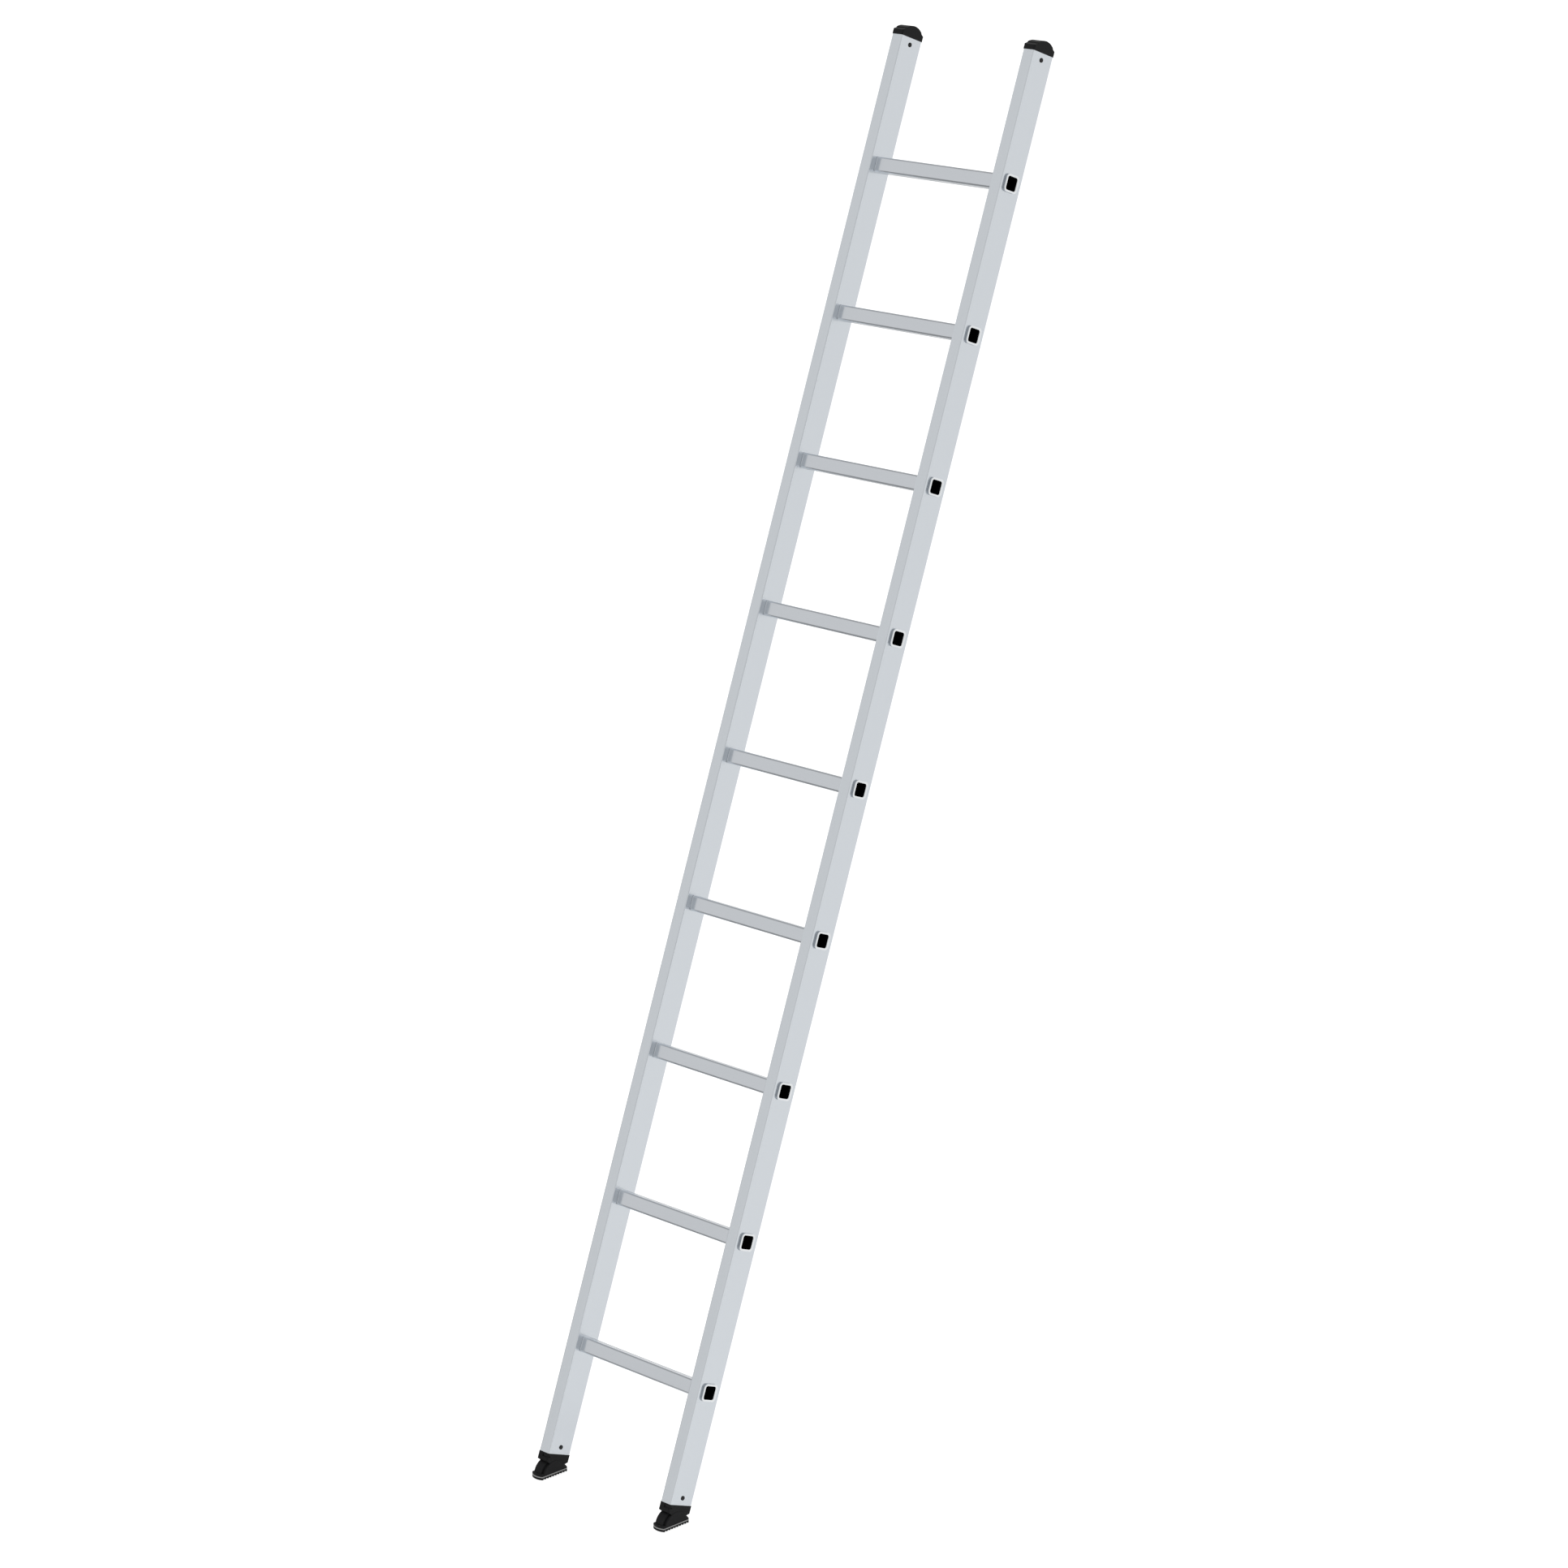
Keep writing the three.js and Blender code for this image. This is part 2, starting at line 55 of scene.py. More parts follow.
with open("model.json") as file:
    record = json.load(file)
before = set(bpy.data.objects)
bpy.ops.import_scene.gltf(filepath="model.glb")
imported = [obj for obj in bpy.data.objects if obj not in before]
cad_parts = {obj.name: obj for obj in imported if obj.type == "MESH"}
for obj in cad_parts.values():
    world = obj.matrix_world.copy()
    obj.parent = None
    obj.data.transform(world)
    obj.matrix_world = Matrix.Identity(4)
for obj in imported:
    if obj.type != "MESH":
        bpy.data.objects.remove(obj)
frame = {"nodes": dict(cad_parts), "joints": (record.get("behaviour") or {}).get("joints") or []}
CAD_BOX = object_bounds()

# ------------------------------------------------------------------------------------------------
# Places. Meshes are drawn in millimetres in a piece's own axes, then placed in the row frame.

MM = 0.001
SIDES = {"left": -1, "right": 1}
RUNG_NAMES = sorted(name for name in frame["nodes"] if name.startswith("rung_"))
TILT_AXIS = Vector((0, *frame["joints"][0]["pos_m"][1:]))


def middle(node):
    low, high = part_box(node)
    return (low + high) / 2


def lean_angle():
    """How far the stiles lean from upright, from the lowest and the highest rung."""
    way = middle(RUNG_NAMES[-1]) - middle(RUNG_NAMES[0])
    return math.atan2(way.y, way.z)


LEANING = Matrix.Translation(TILT_AXIS) @ Matrix.Rotation(-lean_angle(), 4, "X")
LEVEL = Matrix.Translation(TILT_AXIS)


def own_box(node, place):
    """Lowest and highest corner of a CAD node in the axes of a placing matrix, in millimetres."""
    back = place.inverted()
    points = [back @ vertex.co for vertex in frame["nodes"][node].data.vertices]
    low, high = (Vector(pick(p[i] for p in points) for i in range(3)) for pick in (min, max))
    return low / MM, high / MM


# ------------------------------------------------------------------------------------------------
# What a user would change.

def length(name, description, millimetres):
    return FloatProperty(
        name=name, description=description, default=millimetres * MM, min=0.0, unit="LENGTH"
    )


def paint(name, description, colour):
    return FloatVectorProperty(
        name=name, description=description, default=srgb(colour), size=4, min=0.0, max=1.0, subtype="COLOR"
    )


def srgb(colour):
    """An sRGB hex value as the linear colour that shaders take."""
    parts = [int(colour[i : i + 2], 16) / 255 for i in (1, 3, 5)]
    return (*[c / 12.92 if c <= 0.04045 else ((c + 0.055) / 1.055) ** 2.4 for c in parts], 1.0)


class LadderSizes(bpy.types.PropertyGroup):
    """Sizes of the details that the frame leaves plain"""

    stile_corner: length("Stile corner", "Outer corner radius of a stile's section", 2.5)
    stile_wall: length("Stile wall", "Wall of a stile's section", 1.6)
    groove_depth: length("Groove depth", "Depth of the anti-slip grooves in a rung", 0.7)
    groove_width: length("Groove width", "Width of an anti-slip groove", 1.3)
    groove_pitch: length("Groove pitch", "From one anti-slip groove to the next", 3.1)
    grooves: IntProperty(name="Grooves", description="Grooves on top and under a rung", default=5, min=1)
    rung_corner: length("Rung corner", "Corner radius of a rung's section", 4.0)
    rung_wall: length("Rung wall", "Wall of a rung's tube", 1.8)
    mould_edge: length("Moulded edge", "Edge radius of the moulded plastic pieces", 0.8)


class LadderColours(bpy.types.PropertyGroup):
    """Colours of the finishes"""

    stile: paint("Stile", "Mill-finish aluminium of the stiles", "#DCE1E6")
    rung: paint("Rung", "Mill-finish aluminium of the rungs", "#DADEE3")
    rim: paint("Rim", "Aluminium burnished by the flaring tool", "#F0F3F5")
    # Rim edge: the flared rim's outer wall beside the stile. Its colour is darker than the rim's as
    # painted shade, for the shade the stile's face throws into it; its dullness is real.
    rim_wall_painted_shade: paint("Rim edge", "Outer edge of a flared rim, upset and dull", "#B8BDC3")
    # Bore: painted shade; the inside of the tube is coloured near black for the shade deep in it.
    bore: paint("Bore", "Unlit inside of a rung's tube", "#050507")
    nylon: paint("Nylon", "Moulded caps, holders and shoes", "#1B1B1C")
    sole_plate: paint("Sole plate", "Layer between shoe and tread", "#9C9C9C")
    rubber: paint("Rubber", "Ribbed treads", "#161617")
    rivet: paint("Rivet", "Black coating of the rivets", "#17181A")
    mandrel: paint("Mandrel", "Broken end of a rivet's mandrel", "#4A4C4F")
    zinc: paint("Zinc", "Zinc plate on screws and nuts", "#B9BCC0")
    floor: paint("Floor", "Studio floor", "#F0F0F0")


# ------------------------------------------------------------------------------------------------
# Outlines, meshes and pieces.

CORNER_STEPS = 8
EDGE_STEPS = 4


def arc(centre, radius, start, end, steps):
    """Points from one angle to another, in degrees, on a circle in the drawing's plane."""
    angles = [math.radians(start + (end - start) * i / steps) for i in range(steps + 1)]
    return [(centre[0] + radius * math.cos(a), centre[1] + radius * math.sin(a)) for a in angles]


def round_rect(width, height, radius, steps=CORNER_STEPS):
    """Anticlockwise rectangle with round corners, centred on zero."""
    across, up = width / 2 - radius, height / 2 - radius
    points = []
    for i, (u, v) in enumerate(((-across, -up), (across, -up), (across, up), (-across, up))):
        points += arc((u, v), radius, 180 + 90 * i, 270 + 90 * i, steps)
    return points


def filleted(points, radii):
    """The outline with each corner rounded by its own radius; 0 leaves a corner sharp."""
    out = []
    for i, radius in enumerate(radii):
        here, before = Vector(points[i]), Vector(points[i - 1])
        after = Vector(points[(i + 1) % len(points)])
        if radius <= 0:
            out.append(tuple(here))
            continue
        to_before, to_after = (before - here).normalized(), (after - here).normalized()
        half = to_before.angle(to_after) / 2
        reach = radius / math.tan(half)
        centre = here + (to_before + to_after).normalized() * (radius / math.sin(half))
        start, end = here + to_before * reach - centre, here + to_after * reach - centre
        turn = start.angle_signed(end)
        for k in range(EDGE_STEPS + 1):
            spin = Matrix.Rotation(-turn * k / EDGE_STEPS, 2)
            out.append(tuple(centre + spin @ start))
    return out


def loft(rings, closed=False, material=None):
    """A mesh through rings of equal length. Its faces' material index can depend on the ring."""
    mesh = bmesh.new()
    rows = [[mesh.verts.new(point) for point in ring] for ring in rings]
    count = len(rows[0])
    last = len(rows) if closed else len(rows) - 1
    for r in range(last):
        low, high = rows[r], rows[(r + 1) % len(rows)]
        for i in range(count):
            face = mesh.faces.new((low[i], low[(i + 1) % count], high[(i + 1) % count], high[i]))
            face.material_index = material(r) if material else 0
    if not closed:
        mesh.faces.new(list(reversed(rows[0])))
        mesh.faces.new(rows[-1])
    bmesh.ops.recalc_face_normals(mesh, faces=mesh.faces)
    return mesh


def inward(outline, flat_edge):
    """Unit miter directions into the outline. With flat_edge, the closing edge doesn't tilt its ends."""
    count = len(outline)
    turned = []
    for i in range(count):
        here, before, after = Vector(outline[i]), Vector(outline[i - 1]), Vector(outline[(i + 1) % count])
        first, second = (here - before).normalized(), (after - here).normalized()
        if flat_edge and i == 0:
            first = second
        if flat_edge and i == count - 1:
            second = first
        normal_1, normal_2 = Vector((-first.y, first.x)), Vector((-second.y, second.x))
        turned.append((normal_1 + normal_2) / (1 + normal_1.dot(normal_2)))
    return turned


FLAT_MARGIN = 0.3  # flat border inside a round edge, which keeps the face within it evenly shaded


def slab(outline, low, high, radius, flat_edge=False):
    """Rings of a solid drawn by an anticlockwise outline (u, v) from w = low to w = high, with edges of
    that radius round both ends."""
    ways = inward(outline, flat_edge)

    def ring(inset, w):
        return [(u + way.x * inset, v + way.y * inset, w) for (u, v), way in zip(outline, ways)]

    rings = []
    for face, direction in ((low, -1), (high, 1)):
        rows = []
        for k in range(EDGE_STEPS + 1):
            angle = math.pi / 2 * k / EDGE_STEPS
            inset, sunk = radius * (1 - math.cos(angle)), radius * (1 - math.sin(angle))
            rows.append(ring(inset, face - direction * sunk))
        rows.append(ring(radius + FLAT_MARGIN, face))
        rings += list(reversed(rows)) if direction < 0 else rows
    return rings


def along_x(rings):
    """Turns (u, v, w) into (w, u, v): an outline drawn in Y and Z, standing along X."""
    return [[(w, u, v) for u, v, w in ring] for ring in rings]


TURNED_STEPS, BORED_STEPS = 48, 96


def lathe(profile):
    """A turned solid round Z from (radius, height) points that start and end on the axis."""
    mesh = bmesh.new()
    rows = []
    for radius, height in profile:
        if radius < 1e-6:
            rows.append([mesh.verts.new((0, 0, height))])
            continue
        angles = [2 * math.pi * i / TURNED_STEPS for i in range(TURNED_STEPS)]
        rows.append([mesh.verts.new((radius * math.cos(a), radius * math.sin(a), height)) for a in angles])
    for low, high in zip(rows, rows[1:]):
        for i in range(TURNED_STEPS):
            below = (low[i % len(low)], low[(i + 1) % len(low)])
            above = (high[(i + 1) % len(high)], high[i % len(high)])
            corners = [*below, *above]
            mesh.faces.new(list(dict.fromkeys(corners)))
    bmesh.ops.recalc_face_normals(mesh, faces=mesh.faces)
    return mesh


def solid(mesh, name="working"):
    """An object from a bmesh, not yet placed."""
    data = bpy.data.meshes.new(name)
    mesh.to_mesh(data)
    mesh.free()
    made = bpy.data.objects.new(name, data)
    bpy.context.scene.collection.objects.link(made)
    return made


def applied(piece):
    """Replaces a piece's mesh by what its modifiers make of it."""
    graph = bpy.context.evaluated_depsgraph_get()
    data = bpy.data.meshes.new_from_object(piece.evaluated_get(graph))
    piece.modifiers.clear()
    piece.data = data
    return piece


def combine(piece, tool, operation):
    """Joins a tool to a piece, or cuts it away, and removes the tool."""
    cut = piece.modifiers.new(operation.lower(), "BOOLEAN")
    cut.operation = operation
    cut.solver = "EXACT"
    cut.object = tool
    applied(piece)
    bpy.data.objects.remove(tool)
    return piece


def block(low, high):
    """A plain tool for cutting."""
    mesh = bmesh.new()
    bmesh.ops.create_cube(mesh, size=1)
    for vertex in mesh.verts:
        vertex.co = Vector(low[i] if vertex.co[i] < 0 else high[i] for i in range(3))
    return solid(mesh)


def bar(radius, low, high):
    """A round tool along X, for cutting."""
    outline = arc((0, 0), radius, 0, 360, BORED_STEPS)[:-1]
    return solid(loft(along_x([[(u, v, w) for u, v in outline] for w in (low, high)])))


def soften(piece, width, steps=2, angle=35):
    """Small round edges where faces meet at more than an angle in degrees."""
    bevel = piece.modifiers.new("edges", "BEVEL")
    bevel.width = width
    bevel.segments = steps
    bevel.limit_method = "ANGLE"
    bevel.angle_limit = math.radians(angle)
    bevel.use_clamp_overlap = True
    return applied(piece)


SHARP_DEGREES = 32  # faces that meet at more than this stay sharp in the shading
NORMAL_WEIGHT = 60  # how far large faces rule the shading of small ones beside them


def finish_piece(piece, name, place, offset, materials, body, nodes):
    """Names, scales, places and shades a piece, hangs it under its body, and hides the frame nodes that it
    stands for.
    """
    piece.name = piece.data.name = name
    piece.data.transform(Matrix.Scale(MM, 4))
    piece.matrix_world = place @ Matrix.Translation(Vector(offset) * MM)
    finishes = [polygon.material_index for polygon in piece.data.polygons]
    piece.data.materials.clear()
    for material in materials:
        piece.data.materials.append(material)
    piece.data.polygons.foreach_set("material_index", finishes)
    piece.data.shade_smooth()
    piece.data.set_sharp_from_angle(angle=math.radians(SHARP_DEGREES))
    normals = piece.modifiers.new("normals", "WEIGHTED_NORMAL")
    normals.keep_sharp = True
    normals.weight = NORMAL_WEIGHT
    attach(piece, body)
    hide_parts(*nodes)
    return piece


# ------------------------------------------------------------------------------------------------
# Materials.

def add(tree, kind, settings=None, **links):
    """Adds a node with its settings, and sets or links its inputs by name; _ stands for a space."""
    made = tree.nodes.new(kind)
    for key, value in (settings or {}).items():
        setattr(made, key, value)
    for key, value in links.items():
        place = int(key[1:]) if key[0] == "i" and key[1:].isdigit() else key.replace("_", " ")
        socket = made.inputs[place]
        if isinstance(value, bpy.types.NodeSocket):
            tree.links.new(value, socket)
        else:
            socket.default_value = value
    return made


def new_material(name):
    """A material with only its output and its main shader, and its node tree."""
    material = bpy.data.materials.new(name)
    material.use_nodes = True
    tree = material.node_tree
    tree.nodes.clear()
    shader = add(tree, "ShaderNodeBsdfPrincipled")
    add(tree, "ShaderNodeOutputMaterial", Surface=shader.outputs["BSDF"])
    return material, tree, shader


def ramp(tree, value, low, high):
    """Maps 0 to 1 onto a range."""
    return add(
        tree, "ShaderNodeMapRange", Value=value, To_Min=low, To_Max=high
    ).outputs["Result"]


def noise(tree, place, grain_mm, detail=3.0, roughness=0.5):
    """Smooth noise with a grain of that many millimetres."""
    scale = 1 / (grain_mm * MM)
    made = add(tree, "ShaderNodeTexNoise", Vector=place, Scale=scale, Detail=detail, Roughness=roughness)
    return made.outputs[0]


def local_place(tree, stretch=(1, 1, 1)):
    """A piece's own coordinates in metres, squeezed along some of its axes."""
    place = add(tree, "ShaderNodeTexCoord").outputs["Object"]
    return add(tree, "ShaderNodeMapping", Vector=place, Scale=stretch).outputs["Vector"]


def shade(tree, colour, amount, low, high):
    """A colour whose brightness follows an amount from 0 to 1."""
    if not isinstance(colour, bpy.types.NodeSocket):
        colour = colour[:3]
    factor = ramp(tree, amount, low, high)
    return add(tree, "ShaderNodeVectorMath", {"operation": "SCALE"}, i0=colour, Scale=factor).outputs[0]


LINE_MM = 0.9  # die lines are finer on real extrusions, and are drawn this coarse to show
CLOUD_MM = 60.0  # slow change of the skin along a length
LINE_REACH = 0.012  # how fast a die line changes along the length, against across it


def extruded_aluminium(name, colour, axis):
    """Aluminium 6060 as it leaves the die: a bright grey skin that mirrors softly, with faint lines
    along its length that give it its direction, and slow clouds from handling."""
    material, tree, shader = new_material(name)
    stretch = [1.0, 1.0, 1.0]
    stretch[axis] = LINE_REACH
    lines = noise(tree, local_place(tree, stretch), LINE_MM, 4.0, 0.6)
    clouds = noise(tree, local_place(tree), CLOUD_MM, 2.0)
    colour = shade(tree, colour, lines, 0.975, 1.025)
    tree.links.new(colour, shader.inputs["Base Color"])
    shader.inputs["Metallic"].default_value = 1.0
    wear = add(tree, "ShaderNodeMath", {"operation": "ADD"}, i0=ramp(tree, lines, -0.03, 0.03),
               i1=ramp(tree, clouds, 0.16, 0.22))
    tree.links.new(wear.outputs[0], shader.inputs["Roughness"])
    bump = add(tree, "ShaderNodeBump", Strength=0.12, Distance=0.02 * MM, Height=lines)
    tree.links.new(bump.outputs["Normal"], shader.inputs["Normal"])
    return material


def swaged_aluminium(name, colour, smoothest, roughest):
    """Aluminium worked over by the swaging tool: burnished bright where the tool pressed, and dull where
    the edge of the tube was upset. The darker colour given to that upset edge, the rim's outer wall, is
    painted shade for the shade beside the stile's face."""
    material, tree, shader = new_material(name)
    smears = noise(tree, local_place(tree), 1.5, 3.0)
    tree.links.new(shade(tree, colour, smears, 0.96, 1.02), shader.inputs["Base Color"])
    shader.inputs["Metallic"].default_value = 1.0
    tree.links.new(ramp(tree, smears, smoothest, roughest), shader.inputs["Roughness"])
    return material


def bore_painted_shade(colour):
    """The inside of a drawn tube, dull with oxide, and painted near black as the shade deep in it, where
    light hardly reaches.
    """
    material, tree, shader = new_material("Tube bore painted shade")
    grain = noise(tree, local_place(tree), 2.0)
    tree.links.new(shade(tree, colour, grain, 0.8, 1.2), shader.inputs["Base Color"])
    shader.inputs["Roughness"].default_value = 0.9
    shader.inputs["Specular IOR Level"].default_value = 0.0
    return material


GRAIN_MM = 0.7  # spark-eroded mould texture, drawn coarser than the real 0.2 mm so that it shows


def moulded_nylon(colour):
    """Glass-filled nylon 6 from a spark-eroded mould: black, satin, with a fine leathery grain."""
    material, tree, shader = new_material("Moulded nylon")
    place = local_place(tree)
    grain = noise(tree, place, GRAIN_MM, 2.0)
    flow = noise(tree, place, 25.0, 2.0)
    tree.links.new(shade(tree, colour, flow, 0.85, 1.15), shader.inputs["Base Color"])
    tree.links.new(ramp(tree, grain, 0.38, 0.52), shader.inputs["Roughness"])
    shader.inputs["IOR"].default_value = 1.53
    shader.inputs["Specular IOR Level"].default_value = 0.1
    bump = add(tree, "ShaderNodeBump", Strength=0.25, Distance=0.04 * MM, Height=grain)
    tree.links.new(bump.outputs["Normal"], shader.inputs["Normal"])
    return material


def sole_plastic(colour):
    """Polypropylene sheet, sawn and left bare: mid grey, with a faint milky cast."""
    material, tree, shader = new_material("Grey polypropylene")
    place = local_place(tree)
    flow = noise(tree, place, 6.0, 3.0)
    tree.links.new(shade(tree, colour, flow, 0.92, 1.06), shader.inputs["Base Color"])
    tree.links.new(ramp(tree, flow, 0.45, 0.6), shader.inputs["Roughness"])
    shader.inputs["IOR"].default_value = 1.49
    bump = add(tree, "ShaderNodeBump", Strength=0.15, Distance=0.03 * MM, Height=flow)
    tree.links.new(bump.outputs["Normal"], shader.inputs["Normal"])
    return material


def vulcanised_rubber(colour):
    """Nitrile rubber pressed in a mould: black and matt, with dusty high spots."""
    material, tree, shader = new_material("Vulcanised rubber")
    place = local_place(tree)
    grain = noise(tree, place, 1.2, 4.0, 0.6)
    tree.links.new(shade(tree, colour, grain, 0.8, 1.25), shader.inputs["Base Color"])
    tree.links.new(ramp(tree, grain, 0.75, 0.95), shader.inputs["Roughness"])
    shader.inputs["IOR"].default_value = 1.52
    shader.inputs["Specular IOR Level"].default_value = 0.25
    bump = add(tree, "ShaderNodeBump", Strength=0.4, Distance=0.08 * MM, Height=grain)
    tree.links.new(bump.outputs["Normal"], shader.inputs["Normal"])
    return material


def coated_metal(name, colour, roughness):
    """Steel under a thin black coat, which shows a little orange peel."""
    material, tree, shader = new_material(name)
    peel = noise(tree, local_place(tree), 0.8, 2.0)
    tree.links.new(shade(tree, colour, peel, 0.9, 1.1), shader.inputs["Base Color"])
    tree.links.new(ramp(tree, peel, roughness - 0.05, roughness + 0.05), shader.inputs["Roughness"])
    shader.inputs["IOR"].default_value = 1.5
    shader.inputs["Specular IOR Level"].default_value = 0.3
    bump = add(tree, "ShaderNodeBump", Strength=0.2, Distance=0.02 * MM, Height=peel)
    tree.links.new(bump.outputs["Normal"], shader.inputs["Normal"])
    return material


def zinc_plated_steel(colour):
    """Turned steel with bright zinc plate: pale grey, clouded by passivation."""
    material, tree, shader = new_material("Zinc plated steel")
    clouds = noise(tree, local_place(tree), 4.0, 3.0)
    tree.links.new(shade(tree, colour, clouds, 0.88, 1.05), shader.inputs["Base Color"])
    shader.inputs["Metallic"].default_value = 1.0
    tree.links.new(ramp(tree, clouds, 0.28, 0.42), shader.inputs["Roughness"])
    return material


PAPER_LIFT = 0.35  # over-exposes the paper that is looked at, and leaves its light on the ladder alone
PAPER_PAINTED_GLOW = 0.24  # painted light: the paper glows by up to this much away from the climber's left, and the glow lights the ladder as a lamp would
PAINTED_SHADE_SHARE = 0.5  # painted shade: share of the paper's colour left at the climber's left hand, seen in the light the paper throws onto the ladder, not by the camera


def studio_paper(colour):
    """Seamless paper: matt and very pale, with a faint fibre. A glow that is painted light and a lift for
    the camera make it all but white; towards the climber's left its colour is painted darker as shade,
    which only the ladder's reflections see.
    """
    material, tree, shader = new_material("Seamless paper")
    place = local_place(tree)
    fibre = noise(tree, place, 3.0, 2.0)
    across = add(tree, "ShaderNodeVectorMath", {"operation": "DOT_PRODUCT"}, i0=place, i1=(1.0, 1.0, 0.0))
    from_foot = add(tree, "ShaderNodeMath", {"operation": "SUBTRACT"}, i0=across.outputs["Value"],
                    i1=TILT_AXIS.y).outputs[0]
    # Painted shade and painted light: this share runs from the shade share at the climber's left to whole
    # past the foot; it scales the paper's colour and drives its glow.
    painted_light_share = add(tree, "ShaderNodeMapRange", {"interpolation_type": "SMOOTHSTEP"}, Value=from_foot,
              From_Min=-0.7, From_Max=0.1, To_Min=PAINTED_SHADE_SHARE, To_Max=1.0).outputs["Result"]
    seen = add(tree, "ShaderNodeLightPath").outputs["Is Camera Ray"]
    painted_light_share = add(tree, "ShaderNodeMath", {"operation": "MAXIMUM"}, i0=painted_light_share, i1=seen).outputs[0]
    paper = shade(tree, shade(tree, colour, fibre, 0.99, 1.0), painted_light_share, 0.0, 1.0)
    tree.links.new(paper, shader.inputs["Base Color"])
    shader.inputs["Roughness"].default_value = 0.9
    shader.inputs["Specular IOR Level"].default_value = 0.0
    shader.inputs["Emission Color"].default_value = (1.0, 1.0, 1.0, 1.0)
    # Painted light: a glow that grows with the share, plus the lift that only the camera sees.
    glow = add(tree, "ShaderNodeMath", {"operation": "MULTIPLY_ADD"}, i0=seen, i1=PAPER_LIFT,
               i2=ramp(tree, painted_light_share, -PAPER_PAINTED_GLOW, PAPER_PAINTED_GLOW))
    tree.links.new(glow.outputs[0], shader.inputs["Emission Strength"])
    return material


def finish_of(key):
    """The finish of that name, made once and shared."""
    made = bpy.data.materials.get(FINISHES[key][0])
    return made or FINISHES[key][1](bpy.context.scene.ladder_colours)


FINISHES = {
    "stile": ("Mill-finish stile", lambda c: extruded_aluminium("Mill-finish stile", c.stile, 2)),
    "rung": ("Mill-finish rung", lambda c: extruded_aluminium("Mill-finish rung", c.rung, 0)),
    "rim": ("Burnished rim", lambda c: swaged_aluminium("Burnished rim", c.rim, 0.2, 0.3)),
    # Rim's outer wall: a darker copy of the rim's finish, its darkness painted shade
    "rim_wall_painted_shade": ("Rim wall painted shade", lambda c: swaged_aluminium("Rim wall painted shade", c.rim_wall_painted_shade, 0.3, 0.42)),
    # painted shade: the bore's near-black colour
    "bore": ("Tube bore painted shade", lambda c: bore_painted_shade(c.bore)),
    "nylon": ("Moulded nylon", lambda c: moulded_nylon(c.nylon)),
    "sole_plate": ("Grey polypropylene", lambda c: sole_plastic(c.sole_plate)),
    "rubber": ("Vulcanised rubber", lambda c: vulcanised_rubber(c.rubber)),
    "rivet": ("Black coated rivet", lambda c: coated_metal("Black coated rivet", c.rivet, 0.4)),
    "mandrel": ("Rivet mandrel", lambda c: coated_metal("Rivet mandrel", c.mandrel, 0.45)),
    "zinc": ("Zinc plated steel", lambda c: zinc_plated_steel(c.zinc)),
    "floor": ("Seamless paper", lambda c: studio_paper(c.floor)),
}


# ------------------------------------------------------------------------------------------------
# Stiles and rungs.

class LADDER_OT_stiles(bpy.types.Operator):
    """Box-section stiles with a round-cornered hole for each rung"""

    bl_idname = "ladder.stiles"
    bl_label = "Stiles"

    def execute(self, context):
        sizes = context.scene.ladder_sizes
        for side in SIDES:
            low, high = own_box(f"stile_{side}", LEANING)
            width, depth = high.x - low.x, high.y - low.y
            corner, wall = sizes.stile_corner / MM, sizes.stile_wall / MM
            outer = round_rect(width, depth, corner)
            inner = round_rect(width - 2 * wall, depth - 2 * wall, corner - wall)
            ends = (low.z, high.z)
            rings = [[(x, y, z) for x, y in outline] for outline, z in
                     ((outer, ends[0]), (outer, ends[1]), (inner, ends[1]), (inner, ends[0]))]
            stile = solid(loft(rings, closed=True))
            for name in RUNG_NAMES:
                combine(stile, self.hole(name, sizes, width), "DIFFERENCE")
            finish_piece(stile, f"ladder_stile_{side}", LEANING, ((low.x + high.x) / 2, 0, 0),
                         [finish_of("stile")], "ladder", [f"stile_{side}"])
        return {"FINISHED"}

    def hole(self, name, sizes, width):
        y, z = rung_centre(name)
        corner = sizes.rung_corner / MM + HOLE_GAP
        outline = round_rect(TUBE[0] + 2 * HOLE_GAP, TUBE[1] + 2 * HOLE_GAP, corner)
        rings = [[(u + y, v + z, w) for u, v in outline] for w in (-width, width)]
        return solid(loft(along_x(rings)))


TUBE = (25.4, 28.4)  # depth and height of a rung's tube
HOLE_GAP = 0.1  # between the tube and the stile's hole
RIM_STEPS = 6
GROOVE_SLOPE = 0.2  # how far each side of an anti-slip groove leans in


def rung_centre(name):
    """Where a rung's middle line lies, as (y, z) in the ladder's axes."""
    low, high = own_box(name, LEANING)
    return (low.y + high.y) / 2, (low.z + high.z) / 2


def rung_ring(x, depth, height, corner, groove, sizes):
    """One section of a rung: a round-cornered rectangle with grooves of that depth on top and under."""
    notch = []
    half, slope = sizes.groove_width / MM / 2, GROOVE_SLOPE
    for i in range(sizes.grooves):
        centre = (i - (sizes.grooves - 1) / 2) * sizes.groove_pitch / MM
        notch += [(centre - half, 0), (centre - half + slope, groove), (centre + half - slope, groove),
                  (centre + half, 0)]
    across, up = depth / 2 - corner, height / 2 - corner
    points = arc((-across, -up), corner, 180, 270, CORNER_STEPS)
    points += [(u, -height / 2 + g) for u, g in notch]
    points += arc((across, -up), corner, 270, 360, CORNER_STEPS)
    points += arc((across, up), corner, 0, 90, CORNER_STEPS)
    points += [(-u, height / 2 - g) for u, g in notch]
    points += arc((-across, up), corner, 90, 180, CORNER_STEPS)
    return [(x, u, v) for u, v in points]


